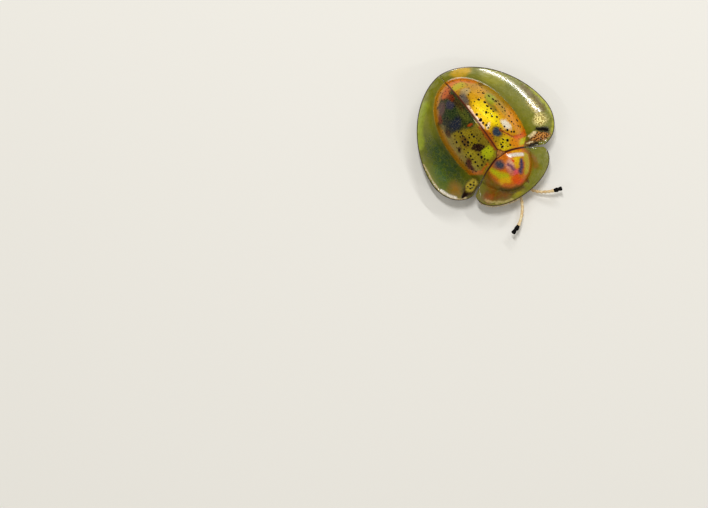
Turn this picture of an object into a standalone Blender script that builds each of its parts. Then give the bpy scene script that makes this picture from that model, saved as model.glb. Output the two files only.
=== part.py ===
# A tortoise beetle at life size, standing on its six feet with its feelers spread.
# It faces -Y, its left side is +X, +Z is up, and the floor is at zero.
# Plan positions are measured from the scutellum, the small triangle where the wing cases
# meet the neck shield. One empty sets the whole animal over the origin.

import math

import bmesh
import bpy
import numpy as np
from mathutils import Vector

mm = 0.001

# Driving dimensions of the animal
half_width = 6.45 * mm          # widest, across both wing cases
tail_y = 9.20 * mm              # hind tip of the wing cases
widest_y = 1.30 * mm            # where the wing cases are widest
shoulder_y = -1.65 * mm         # front of the rounded shoulders
shoulder_x = 4.07 * mm          # where the shoulder arc meets the straight-cut base
shield_half_width = 3.90 * mm   # neck shield, corner to corner
shield_widest_y = -2.15 * mm
shield_front_y = -4.30 * mm
back_z = 5.40 * mm              # top of the back
rim_z = 1.60 * mm               # upper edge of the clear skirt, all round
belly_z = 1.45 * mm             # underside of the trunk on the midline
shell = 0.50 * mm               # wall of wing cases and neck shield
gap = 0.30 * mm                 # clearance between neighbouring pieces

# The raised disc of the back: two half ellipses that share their widest line
disc_y = 2.60 * mm
disc_half_width = 3.45 * mm
disc_front = 6.15 * mm
disc_rear = 5.60 * mm
dome_power = 2.1                # higher is flatter on top
dome_round = 0.74               # lower is steeper at the edge
front_power = 1.45              # the same two towards the head, where the back slopes evenly
front_round = 0.74
skirt_slope = 0.28
skirt_roll = 1.5                # higher keeps the skirt level further out
tail_power = 1.78               # squareness of the hind outline
base_power = 1.25               # forward sweep of the cut base
cut_allowance = 0.30 * mm       # how far the uncut shell runs past the rim

# Scutellum, and the notch that the wing cases leave for it
scutellum_half_width = 0.46 * mm
scutellum_front_y = -0.36 * mm
scutellum_rear_y = 0.24 * mm
notch_half_width = 0.94 * mm
notch_front_y = -0.30 * mm
notch_rear_y = 0.74 * mm
shield_base_y = -0.68 * mm
shield_base_clearance = 0.45 * mm

# Trunk under the shell, parted behind the neck shield and behind the hind legs
trunk_top_inset = 0.92 * mm
trunk_side_inset = 1.08 * mm
trunk_end_inset = 1.20 * mm
crown_end_inset = 1.46 * mm
trunk_squareness = 2.3
trunk_waist_z = 1.95 * mm
trunk_front_y = -1.95 * mm
neck_y = -0.50 * mm
waist_y = 3.30 * mm
trunk_rear_y = 6.94 * mm
belly_grooves_y = (4.25 * mm, 5.05 * mm, 5.75 * mm, 6.35 * mm)
groove_depth = 0.12 * mm
groove_half_width = 0.13 * mm

# Head and eyes: both are cut flat where they face each other
head_centre = (0.0, -2.66 * mm, 0.96 * mm)
head_radii = (0.92 * mm, 0.42 * mm, 0.42 * mm)
head_cut_x = 0.62 * mm
eye_centre_x = 0.90 * mm
eye_radii = (0.34 * mm, 0.32 * mm, 0.36 * mm)

# Left legs: where each joint lies, as (x, y, z)
legs = {
    "front": {
        "coxa": (0.66 * mm, -1.36 * mm, 0.86 * mm),
        "knee": (2.00 * mm, -1.66 * mm, 1.06 * mm),
        "ankle": (2.26 * mm, -2.12 * mm, 0.24 * mm),
        "toe": (2.62 * mm, -3.06 * mm),
    },
    "middle": {
        "coxa": (0.86 * mm, 0.62 * mm, 0.84 * mm),
        "knee": (2.62 * mm, 0.56 * mm, 1.12 * mm),
        "ankle": (3.06 * mm, 0.44 * mm, 0.24 * mm),
        "toe": (3.98 * mm, 0.10 * mm),
    },
    "hind": {
        "coxa": (0.86 * mm, 2.36 * mm, 0.84 * mm),
        "knee": (2.36 * mm, 3.50 * mm, 1.10 * mm),
        "ankle": (2.78 * mm, 4.20 * mm, 0.24 * mm),
        "toe": (3.30 * mm, 5.12 * mm),
    },
}
coxa_radii = (0.44 * mm, 0.38 * mm, 0.31 * mm)
femur_radius = 0.31 * mm
tibia_radius = 0.25 * mm
lobe_radii = (0.27 * mm, 0.34 * mm, 0.25 * mm)
lobe_z = 0.19 * mm
lobes_per_foot = 3
claw_length = 0.24 * mm
claw_radius = 0.09 * mm

# Feelers: points along each one from the head to the tip, as (x, y, z)
antenna_routes = {
    "left": [(0.44 * mm, -3.54 * mm, 0.74 * mm), (0.62 * mm, -4.05 * mm, 0.56 * mm),
             (1.02 * mm, -4.62 * mm, 0.54 * mm), (1.60 * mm, -5.12 * mm, 0.72 * mm),
             (2.24 * mm, -5.50 * mm, 0.94 * mm), (2.92 * mm, -5.76 * mm, 1.06 * mm)],
    "right": [(-0.44 * mm, -3.54 * mm, 0.74 * mm), (-0.54 * mm, -4.05 * mm, 0.56 * mm),
              (-0.82 * mm, -4.80 * mm, 0.54 * mm), (-1.38 * mm, -5.52 * mm, 0.72 * mm),
              (-2.16 * mm, -6.14 * mm, 0.94 * mm), (-3.00 * mm, -6.46 * mm, 1.06 * mm)],
}
antenna_joints = 11
antenna_waist_radius = 0.20 * mm
antenna_joint_radius = 0.25 * mm
antenna_club_radius = 0.28 * mm
antenna_tip_radius = 0.07 * mm


def clear_scene():
    for obj in list(bpy.data.objects):
        bpy.data.objects.remove(obj, do_unlink=True)


def new_collection(name):
    made = bpy.data.collections.new(name)
    bpy.context.scene.collection.children.link(made)
    return made


def make_material(name, colour, roughness, metallic=0.0):
    made = bpy.data.materials.new(name)
    made.use_nodes = True
    shader = made.node_tree.nodes["Principled BSDF"]
    shader.inputs["Base Color"].default_value = (*colour, 1.0)
    shader.inputs["Roughness"].default_value = roughness
    shader.inputs["Metallic"].default_value = metallic
    return made


def object_from_bmesh(name, bm, collection):
    mesh = bpy.data.meshes.new(name)
    bm.to_mesh(mesh)
    bm.free()
    obj = bpy.data.objects.new(name, mesh)
    collection.objects.link(obj)
    return obj


def evaluated_copy(obj):
    """The object's mesh with its modifiers worked in."""
    graph = bpy.context.evaluated_depsgraph_get()
    return bpy.data.meshes.new_from_object(obj.evaluated_get(graph), depsgraph=graph)


def mesh_from_curve(curve_object, collection):
    """The curve's solid as a mesh of its own, with its caps welded on."""
    bpy.context.view_layer.update()
    mesh = evaluated_copy(curve_object)
    name = curve_object.name
    placed = curve_object.matrix_world.copy()
    bpy.data.objects.remove(curve_object, do_unlink=True)
    bm = bmesh.new()
    bm.from_mesh(mesh)
    bmesh.ops.remove_doubles(bm, verts=bm.verts, dist=0.001 * mm)
    bmesh.ops.recalc_face_normals(bm, faces=bm.faces)
    bm.to_mesh(mesh)
    bm.free()
    solid = bpy.data.objects.new(name, mesh)
    solid.matrix_world = placed
    collection.objects.link(solid)
    return solid


def keep_largest_surface(mesh):
    bm = bmesh.new()
    bm.from_mesh(mesh)
    waiting = set(bm.verts)
    surfaces = []
    while waiting:
        found = {waiting.pop()}
        edge_of_search = list(found)
        while edge_of_search:
            vert = edge_of_search.pop()
            for edge in vert.link_edges:
                other = edge.other_vert(vert)
                if other in waiting:
                    waiting.remove(other)
                    found.add(other)
                    edge_of_search.append(other)
        surfaces.append(found)
    largest = max(surfaces, key=len)
    bmesh.ops.delete(bm, geom=[vert for vert in bm.verts if vert not in largest], context="VERTS")
    bm.to_mesh(mesh)
    bm.free()


def smooth(obj, angle=35):
    obj.data.shade_smooth()
    obj.data.set_sharp_from_angle(angle=math.radians(angle))


# Plan outlines, drawn for the left side

def base_edge_y(x):
    """The cut base of the wing cases, swept forward from the scutellum to the shoulder."""
    share = (x - notch_half_width) / (shoulder_x - notch_half_width)
    return notch_front_y + (shoulder_y - notch_front_y) * share ** base_power


def elytron_outline():
    """One wing case from its notch, round the shoulder, to the tail."""
    suture_x = gap / 2
    points = [(suture_x, notch_rear_y)]
    for x in np.linspace(notch_half_width, shoulder_x, 7)[:-1]:
        points.append((x, base_edge_y(x)))
    for turn in np.radians(np.linspace(90, 0, 8)):
        x = shoulder_x + (half_width - shoulder_x) * math.cos(turn)
        points.append((x, widest_y + (shoulder_y - widest_y) * math.sin(turn)))
    for turn in np.radians(np.linspace(0, 90, 19)[1:]):
        x = half_width * math.cos(turn) ** (2 / tail_power)
        points.append((max(suture_x, x), widest_y + (tail_y - widest_y) * math.sin(turn) ** (2 / tail_power)))
    return points


def shield_outline():
    """The neck shield, closed, from the middle of its front."""
    half = []
    for turn in np.radians(np.linspace(90, 0, 12)):
        x = shield_half_width * math.cos(turn)
        half.append((x, shield_widest_y + (shield_front_y - shield_widest_y) * math.sin(turn)))
    for x in np.linspace(0.95 * shield_half_width, notch_half_width, 7):
        half.append((x, base_edge_y(x) - shield_base_clearance))
    middle = (0.0, shield_base_y)
    return half + [middle] + [(-x, y) for x, y in reversed(half[1:])]


# Height of the back

def disc_share(x, y):
    """How far out on the disc a plan point lies: 0 at its middle, 1 on its edge."""
    reach = disc_rear if y > disc_y else disc_front
    return math.hypot(x / disc_half_width, (y - disc_y) / reach)


def rim_table():
    """The rim of shield and wing cases together, as angles and distances from the disc's middle."""
    rim = [(x, y) for x, y in shield_outline() if x >= 0 and y <= shield_widest_y]
    rim += [(x, y) for x, y in elytron_outline() if x > shoulder_x or y > widest_y]
    polar = sorted((math.atan2(x, disc_y - y), math.hypot(x, y - disc_y)) for x, y in rim)
    return np.array(polar).T


rim_angles, rim_distances = rim_table()


def back_height(x, y):
    """Upper surface of the back: a dome standing on a skirt that rolls down to the rim."""
    share = disc_share(x, y)
    distance = math.hypot(x, y - disc_y)
    if share < 0.001:
        return back_z
    rim_distance = float(np.interp(math.atan2(abs(x), disc_y - y), rim_angles, rim_distances))
    disc_distance = distance / share
    foot_z = rim_z + skirt_slope * (rim_distance - disc_distance)
    if share < 1:
        ahead = max(0.0, (disc_y - y) / distance) ** 2
        power = dome_power + (front_power - dome_power) * ahead
        roundness = dome_round + (front_round - dome_round) * ahead
        return foot_z + (back_z - foot_z) * (1 - share ** power) ** roundness
    across = min(1.0, (distance - disc_distance) / (rim_distance - disc_distance))
    return foot_z + (rim_z - foot_z) * across ** skirt_roll


def make_carapace(collection, columns=72, disc_rings=6, skirt_rings=3):
    """Shield and wing cases in one piece: a round grid laid on the back, run a little past the rim."""
    rings = disc_rings + skirt_rings
    bm = bmesh.new()
    bmesh.ops.create_grid(bm, x_segments=columns, y_segments=rings, size=1)
    for vert in bm.verts:
        turn = (vert.co.x + 1 + 1 / columns) * math.pi
        ring = round((vert.co.y + 1) / 2 * rings)
        side = math.sin(turn)
        ahead = math.cos(turn)
        disc_distance = 1 / math.hypot(side / disc_half_width, ahead / (disc_front if ahead > 0 else disc_rear))
        rim_distance = float(np.interp(math.atan2(abs(side), ahead), rim_angles, rim_distances))
        if ring <= disc_rings:
            distance = disc_distance * ring / disc_rings
        else:
            across = (ring - disc_rings) / skirt_rings
            distance = disc_distance + (rim_distance + cut_allowance - disc_distance) * across
        x, y = distance * side, disc_y - distance * ahead
        vert.co = Vector((x, y, back_height(x, y)))
    bmesh.ops.remove_doubles(bm, verts=bm.verts, dist=0.001 * mm)
    bmesh.ops.recalc_face_normals(bm, faces=bm.faces)
    if sum(face.normal.z for face in bm.faces) < 0:
        bmesh.ops.reverse_faces(bm, faces=bm.faces)
    carapace = object_from_bmesh("carapace", bm, collection)
    wall = carapace.modifiers.new("wall", "SOLIDIFY")
    wall.thickness = shell
    wall.offset = -1
    return carapace


def outline_cutter(name, outline, collection):
    """An upright block with a plan outline, taller than the back."""
    curve = bpy.data.curves.new(name, "CURVE")
    curve.dimensions = "2D"
    curve.fill_mode = "BOTH"
    curve.extrude = back_z
    spline = curve.splines.new("POLY")
    spline.points.add(len(outline) - 1)
    for point, (x, y) in zip(spline.points, outline):
        point.co = (x, y, 0, 1)
    spline.use_cyclic_u = True
    flat = bpy.data.objects.new(name, curve)
    collection.objects.link(flat)
    block = mesh_from_curve(flat, collection)
    block.hide_render = True
    block.display_type = "WIRE"
    return block


def cut_plate(name, outline, carapace, collection, cutters):
    """The stretch of the carapace that lies within a plan outline."""
    block = outline_cutter(name + "_outline", outline, cutters)
    mesh = evaluated_copy(carapace)
    mesh.name = name
    plate = bpy.data.objects.new(name, mesh)
    collection.objects.link(plate)
    cut = plate.modifiers.new("outline", "BOOLEAN")
    cut.operation = "INTERSECT"
    cut.object = block
    bpy.context.view_layer.update()
    plate.data = evaluated_copy(plate)
    plate.modifiers.clear()
    keep_largest_surface(plate.data)
    smooth(plate)
    return plate


# Solids that the body and limbs are made of

def ellipsoid(name, centre, radii, collection, segments=16, rings=10, turn_z=0.0):
    bm = bmesh.new()
    bmesh.ops.create_uvsphere(bm, u_segments=segments, v_segments=rings, radius=1)
    cosine, sine = math.cos(turn_z), math.sin(turn_z)
    for vert in bm.verts:
        x, y, z = (vert.co[axis] * radii[axis] for axis in range(3))
        vert.co = Vector(centre) + Vector((x * cosine - y * sine, x * sine + y * cosine, z))
    return object_from_bmesh(name, bm, collection)


def cut_flat(obj, point, normal):
    """Take off what lies on the normal's side of a plane and cap the cut."""
    bm = bmesh.new()
    bm.from_mesh(obj.data)
    every = bm.verts[:] + bm.edges[:] + bm.faces[:]
    bmesh.ops.bisect_plane(bm, geom=every, plane_co=point, plane_no=normal, clear_outer=True, dist=1e-6 * mm)
    bmesh.ops.holes_fill(bm, edges=[edge for edge in bm.edges if edge.is_boundary])
    bmesh.ops.recalc_face_normals(bm, faces=bm.faces)
    bm.to_mesh(obj.data)
    bm.free()


def smooth_route(points, radii, steps):
    """Points and radii along a smooth curve through a few given ones."""
    points = [Vector(point) for point in points]
    places = np.linspace(0, len(points) - 1, steps)
    route = []
    for place in places:
        index = min(int(place), len(points) - 2)
        share = place - index
        before = points[max(index - 1, 0)]
        start, end = points[index], points[index + 1]
        after = points[min(index + 2, len(points) - 1)]
        pull = (end - before) / 2
        push = (after - start) / 2
        route.append(
            start * (2 * share ** 3 - 3 * share ** 2 + 1) + pull * (share ** 3 - 2 * share ** 2 + share)
            + end * (3 * share ** 2 - 2 * share ** 3) + push * (share ** 3 - share ** 2)
        )
    return route, np.interp(places, range(len(radii)), radii)


def tapered_tube(name, route, radii, collection):
    """A round tube along a route, thick or thin as its radii say."""
    curve = bpy.data.curves.new(name, "CURVE")
    curve.dimensions = "3D"
    curve.bevel_depth = 1.0
    curve.bevel_resolution = 2
    curve.use_fill_caps = True
    spline = curve.splines.new("POLY")
    spline.points.add(len(route) - 1)
    for point, place, radius in zip(spline.points, route, radii):
        point.co = (*place, 1.0)
        point.radius = radius
    tube = bpy.data.objects.new(name, curve)
    collection.objects.link(tube)
    return mesh_from_curve(tube, collection)


def fuse(name, pieces, collection):
    """Join overlapping solids into one closed body."""
    root = pieces[0]
    others = bpy.data.collections.new(name + "_pieces")
    for piece in pieces[1:]:
        others.objects.link(piece)
    union = root.modifiers.new("union", "BOOLEAN")
    union.operation = "UNION"
    union.operand_type = "COLLECTION"
    union.collection = others
    union.solver = "MANIFOLD"
    bpy.context.view_layer.update()
    mesh = evaluated_copy(root)
    for piece in pieces:
        bpy.data.objects.remove(piece, do_unlink=True)
    bpy.data.collections.remove(others)
    keep_largest_surface(mesh)
    mesh.name = name
    fused = bpy.data.objects.new(name, mesh)
    collection.objects.link(fused)
    smooth(fused)
    return fused


# Trunk

def trunk_section(y):
    """Half width, top and underside of the trunk at one place along it."""
    disc_reach = disc_rear if y > disc_y else disc_front
    share = abs(y - disc_y) / (disc_reach - trunk_end_inset)
    half = (disc_half_width - trunk_side_inset) * (1 - share ** trunk_squareness) ** (1 / trunk_squareness)
    under_z = trunk_waist_z - (trunk_waist_z - belly_z) * (1 - share ** 4)
    share = min(0.99, abs(y - disc_y) / (disc_reach - crown_end_inset))
    crown_power = dome_power if y > disc_y else front_power
    crown_rise = back_z - trunk_top_inset - trunk_waist_z
    crown_z = trunk_waist_z + crown_rise * (1 - share ** crown_power) ** dome_round
    return half, crown_z, under_z


def trunk_length(name, front_y, rear_y, collection, grooves=()):
    """One length of the trunk between two level faces, with grooves round its underside."""
    stations = set(np.linspace(front_y, rear_y, 7))
    for groove in grooves:
        stations.update((groove - groove_half_width, groove, groove + groove_half_width))
    stations = sorted(stations)
    around = 24
    bm = bmesh.new()
    bmesh.ops.create_grid(bm, x_segments=around, y_segments=len(stations) - 1, size=1)
    for vert in bm.verts:
        turn = (vert.co.x + 1) * math.pi
        y = stations[round((vert.co.y + 1) / 2 * (len(stations) - 1))]
        half, crown_z, under_z = trunk_section(y)
        if y in grooves and math.sin(turn) < 0.3:
            half -= groove_depth
            under_z += groove_depth
        height = crown_z - trunk_waist_z if math.sin(turn) > 0 else trunk_waist_z - under_z
        vert.co = Vector((half * math.cos(turn), y, trunk_waist_z + height * math.sin(turn)))
    bmesh.ops.remove_doubles(bm, verts=bm.verts, dist=0.001 * mm)
    bmesh.ops.holes_fill(bm, edges=[edge for edge in bm.edges if edge.is_boundary])
    bmesh.ops.recalc_face_normals(bm, faces=bm.faces)
    length = object_from_bmesh(name, bm, collection)
    smooth(length)
    return length


def make_trunk(collection):
    prothorax = trunk_length("prothorax", trunk_front_y, neck_y - gap, collection)
    thorax = trunk_length("thorax", neck_y, waist_y - gap, collection)
    abdomen = trunk_length("abdomen", waist_y, trunk_rear_y, collection, belly_grooves_y)
    return [prothorax, thorax, abdomen]


# Shell

def make_scutellum(collection):
    """A small rounded triangle, as thick as the shell round it."""
    corners = [(scutellum_half_width, scutellum_front_y), (0.0, scutellum_rear_y),
               (-scutellum_half_width, scutellum_front_y), (0.0, scutellum_front_y)]
    bm = bmesh.new()
    ring = [bm.verts.new((x, y, back_height(x, y))) for x, y in corners]
    bm.faces.new(ring)
    bmesh.ops.recalc_face_normals(bm, faces=bm.faces)
    if bm.faces[:][0].normal.z < 0:
        bmesh.ops.reverse_faces(bm, faces=bm.faces)
    plate = object_from_bmesh("scutellum", bm, collection)
    wall = plate.modifiers.new("wall", "SOLIDIFY")
    wall.thickness = shell
    wall.offset = -1
    return plate


def make_shell(collection, cutters):
    """Both wing cases and the neck shield, parted from one carapace."""
    carapace = make_carapace(cutters)
    left = elytron_outline()
    right = [(-x, y) for x, y in reversed(left)]
    plates = [
        cut_plate("elytron_left", left, carapace, collection, cutters),
        cut_plate("elytron_right", right, carapace, collection, cutters),
        cut_plate("pronotum", shield_outline(), carapace, collection, cutters),
    ]
    for cutter in list(cutters.objects):
        bpy.data.objects.remove(cutter, do_unlink=True)
    return plates


# Head, eyes and feelers

def make_head(collection):
    skull = ellipsoid("head", head_centre, head_radii, collection, segments=20, rings=12)
    for side in (1, -1):
        cut_flat(skull, (side * head_cut_x, 0, 0), (side, 0, 0))
    smooth(skull)
    return skull


def make_eye(name, side, collection):
    centre = (side * eye_centre_x, head_centre[1], head_centre[2])
    made = ellipsoid(name, centre, eye_radii, collection)
    cut_flat(made, (side * (head_cut_x + gap), 0, 0), (-side, 0, 0))
    smooth(made)
    return made


def make_antenna(name, route, collection):
    """Eleven joints, each narrow at its foot and swelling to its end, the last five thicker."""
    steps_per_joint = 3
    steps = antenna_joints * steps_per_joint + 1
    points, _ = smooth_route(route, [1] * len(route), steps)
    radii = []
    for step in range(steps):
        joint, place = divmod(step, steps_per_joint)
        swell = antenna_club_radius if joint >= antenna_joints - 5 else antenna_joint_radius
        radii.append(antenna_waist_radius if place == 0 else swell)
    radii[0] = antenna_joint_radius
    radii[-1] = antenna_tip_radius
    feeler = tapered_tube(name, points, radii, collection)
    smooth(feeler, 50)
    return feeler


# Legs

def make_leg(name, joints, side, collection):
    """Hip, thigh, shin, a foot of three broad lobes and two claws, fused into one solid."""
    coxa, knee, ankle = (Vector((side * joints[key][0], *joints[key][1:])) for key in ("coxa", "knee", "ankle"))
    toe = Vector((side * joints["toe"][0], joints["toe"][1], lobe_z))
    outward = math.atan2(knee.y - coxa.y, knee.x - coxa.x)
    pieces = [ellipsoid("hip", coxa, coxa_radii, collection, 10, 7, outward)]

    thigh_points, thigh_radii = smooth_route(
        (coxa, coxa.lerp(knee, 0.5), knee),
        (0.8 * femur_radius, 1.08 * femur_radius, 0.75 * femur_radius),
        5,
    )
    pieces.append(tapered_tube("thigh", thigh_points, thigh_radii, collection))
    knee_radius = 0.95 * tibia_radius
    pieces.append(ellipsoid("knee", knee, (knee_radius,) * 3, collection, 8, 6))
    shin_radii = (0.8 * tibia_radius, tibia_radius, 0.85 * tibia_radius)
    shin_points, shin_radii = smooth_route((knee, knee.lerp(ankle, 0.5), ankle), shin_radii, 4)
    pieces.append(tapered_tube("shin", shin_points, shin_radii, collection))

    foot = toe - ankle
    heading = math.atan2(foot.y, foot.x) - math.pi / 2
    for lobe in range(lobes_per_foot):
        place = ankle.lerp(toe, (lobe + 0.45) / lobes_per_foot)
        size = 0.86 + 0.07 * lobe
        pad = ellipsoid("pad", (place.x, place.y, lobe_z), [size * r for r in lobe_radii], collection, 10, 6, heading)
        pieces.append(pad)
    ahead = Vector((foot.x, foot.y, 0)).normalized()
    across = Vector((-ahead.y, ahead.x, 0))
    for spread in (1, -1):
        root = toe - ahead * 0.18 * mm + across * spread * 0.07 * mm
        tip = root + (ahead + across * spread * 0.55).normalized() * (claw_length + 0.18 * mm)
        tip.z = 1.1 * claw_radius
        pieces.append(tapered_tube("claw", (root, root.lerp(tip, 0.6), tip),
                                   (1.2 * claw_radius, claw_radius, 0.4 * claw_radius), collection))
    leg = fuse(name, pieces, collection)
    cut_flat(leg, (0, 0, 0), (0, 0, -1))
    smooth(leg)
    return leg


def build():
    clear_scene()
    beetle = new_collection("tortoise_beetle")
    cutters = new_collection("cutters")
    gold = make_material("gold_wing_case", (0.62, 0.40, 0.03), 0.22, 0.75)
    green = make_material("green_wing_case", (0.20, 0.24, 0.04), 0.22, 0.6)
    amber = make_material("amber_shield", (0.66, 0.32, 0.04), 0.22, 0.6)
    brown = make_material("brown_plate", (0.16, 0.05, 0.02), 0.35)
    belly = make_material("dark_belly", (0.06, 0.035, 0.02), 0.4)
    black = make_material("black_eye", (0.01, 0.01, 0.012), 0.15)
    straw = make_material("straw_limb", (0.66, 0.46, 0.20), 0.4)

    placed = []

    def finish(objects, material):
        for obj in objects:
            obj.data.materials.clear()
            obj.data.materials.append(material)
            placed.append(obj)

    wing_case_left, wing_case_right, shield = make_shell(beetle, cutters)
    finish([wing_case_left], gold)
    finish([wing_case_right], green)
    finish([shield], amber)
    finish([make_scutellum(beetle)], brown)
    finish(make_trunk(beetle), belly)
    finish([make_head(beetle)], brown)
    finish([make_eye("eye_left", 1, beetle), make_eye("eye_right", -1, beetle)], black)
    for side_name, route in antenna_routes.items():
        finish([make_antenna("antenna_" + side_name, route, beetle)], straw)
    for pair, joints in legs.items():
        for side_name, side in (("left", 1), ("right", -1)):
            finish([make_leg("leg_" + pair + "_" + side_name, joints, side, beetle)], straw)

    bpy.context.view_layer.update()
    front_y = min(corner[1] for obj in placed for corner in obj.bound_box)
    middle = bpy.data.objects.new("beetle_middle", None)
    beetle.objects.link(middle)
    for obj in placed:
        obj.parent = middle
    middle.location.y = -(front_y + tail_y) / 2


build()
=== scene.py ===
import math

import bmesh
import bpy
import numpy as np
from mathutils import Matrix, Vector


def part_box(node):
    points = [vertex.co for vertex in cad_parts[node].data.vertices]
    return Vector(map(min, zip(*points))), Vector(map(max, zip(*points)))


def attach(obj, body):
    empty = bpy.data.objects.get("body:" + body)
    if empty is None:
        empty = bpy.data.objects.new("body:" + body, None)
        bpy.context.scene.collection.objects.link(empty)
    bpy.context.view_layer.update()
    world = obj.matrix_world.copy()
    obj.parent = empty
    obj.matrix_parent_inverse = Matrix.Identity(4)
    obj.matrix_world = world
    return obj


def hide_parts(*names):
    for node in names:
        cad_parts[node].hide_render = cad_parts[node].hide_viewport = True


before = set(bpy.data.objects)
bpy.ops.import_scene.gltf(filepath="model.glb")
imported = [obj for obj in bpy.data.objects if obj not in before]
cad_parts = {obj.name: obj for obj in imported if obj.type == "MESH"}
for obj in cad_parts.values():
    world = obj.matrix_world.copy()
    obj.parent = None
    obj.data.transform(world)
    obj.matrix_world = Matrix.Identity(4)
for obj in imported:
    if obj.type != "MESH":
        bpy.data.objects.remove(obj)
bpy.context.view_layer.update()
mm = 0.001

# Sizes of the animal in millimetres, measured from the front of the scutellum.
# Head towards -y, the animal's left side is +x, and the floor is at z = 0.
back = {
    "halfWidth": 6.45,
    "tailY": 9.2,
    "widestY": 1.3,
    "shoulderX": 4.07,
    "shoulderY": -1.65,
    "tailPower": 1.78,          # 2 would make the tail a half ellipse
    "shieldHalfWidth": 3.90,
    "shieldWidestY": -2.15,
    "shieldFrontY": -4.30,
    "shieldBaseY": -0.41,
    "shieldGap": 0.06,
    "shieldBow": 0.2,           # how much further the shield stands off at its corners
    "topZ": 5.4,
    "rimZ": 1.6,
    "discY": 2.6,
    "discHalfWidth": 3.45,
    "discFront": 6.15,
    "discRear": 5.6,
    "cornerAt": (3.45, 0.3),    # a straight line that rounds off the disc's front corner
    "cornerFacing": (0.667, -0.745),
    "shieldDiscAt": (0.2, -1.42),
    "shieldDiscSize": (2.0, 1.92),
    "skirtSlope": 0.28,
    "rollPower": 1.5,
    "domePowers": (2.1, 0.65, 0.74),  # of the disc's share, less towards the front, then of what is left
    "basePower": 1.25,
    "notchHalfWidth": 0.46,
    "notchFrontY": -0.34,
    "notchRearY": 0.20,
    "seam": 0.004,              # half the hairline between two plates
    "wall": 0.11,
}
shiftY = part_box("elytron_left")[1].y / mm - back["tailY"]  # from these sizes to the frame


# Node trees, written as sums

class Wire:
    # one output socket that can stand in an expression
    def __init__(self, graph, socket):
        self.graph = graph
        self.socket = socket

    def out(self, name):
        return Wire(self.graph, self.socket.node.outputs[name])

    def math(self, operation, *others):
        return self.graph.add("ShaderNodeMath", [self, *others], operation=operation)

    def most(self, *others):
        best = self
        for other in others:
            best = best.math("MAXIMUM", other)
        return best

    def __add__(self, other):
        return self.math("ADD", other)

    def __sub__(self, other):
        return self.math("SUBTRACT", other)

    def __rsub__(self, other):
        return self.graph.add("ShaderNodeMath", [other, self], operation="SUBTRACT")

    def __mul__(self, other):
        return self.math("MULTIPLY", other)

    def __truediv__(self, other):
        return self.math("DIVIDE", other)

    def __gt__(self, other):
        return self.math("GREATER_THAN", other)

    def __lt__(self, other):
        return self.math("LESS_THAN", other)

    __radd__ = __add__
    __rmul__ = __mul__


class Graph:
    # a shader or geometry tree that is filled node by node
    def __init__(self, tree):
        self.tree = tree

    def add(self, kind, values=None, out=0, **settings):
        node = self.tree.nodes.new(kind)
        for name, value in settings.items():
            setattr(node, name, value)
        for name, value in enumerate(values) if isinstance(values, list) else (values or {}).items():
            if isinstance(value, Wire):
                self.tree.links.new(value.socket, node.inputs[name])
            else:
                node.inputs[name].default_value = value
        return Wire(self, node.outputs[out])

    def mix(self, factor, first, second, blend="MIX"):
        return self.add("ShaderNodeMix", {0: factor, 6: first, 7: second}, 2, data_type="RGBA", blend_type=blend)

    def vector(self, operation, *values, out=0):
        return self.add("ShaderNodeVectorMath", list(values), out, operation=operation)

    def scaled(self, vector, factor):
        return self.add("ShaderNodeVectorMath", {0: vector, "Scale": factor}, operation="SCALE")

    def ease(self, value, low, high):
        # a smooth step from 0 to 1 as value goes from low to high
        return self.add("ShaderNodeMapRange", {"Value": value, "From Min": low, "From Max": high},
                        interpolation_type="SMOOTHSTEP")


def tint(red, green, blue):
    # a colour as a screen shows it, 0 to 255, as the light it stands for
    return (*(((c / 255 + 0.055) / 1.055) ** 2.4 if c > 10 else c / 255 / 12.92 for c in (red, green, blue)), 1)


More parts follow.
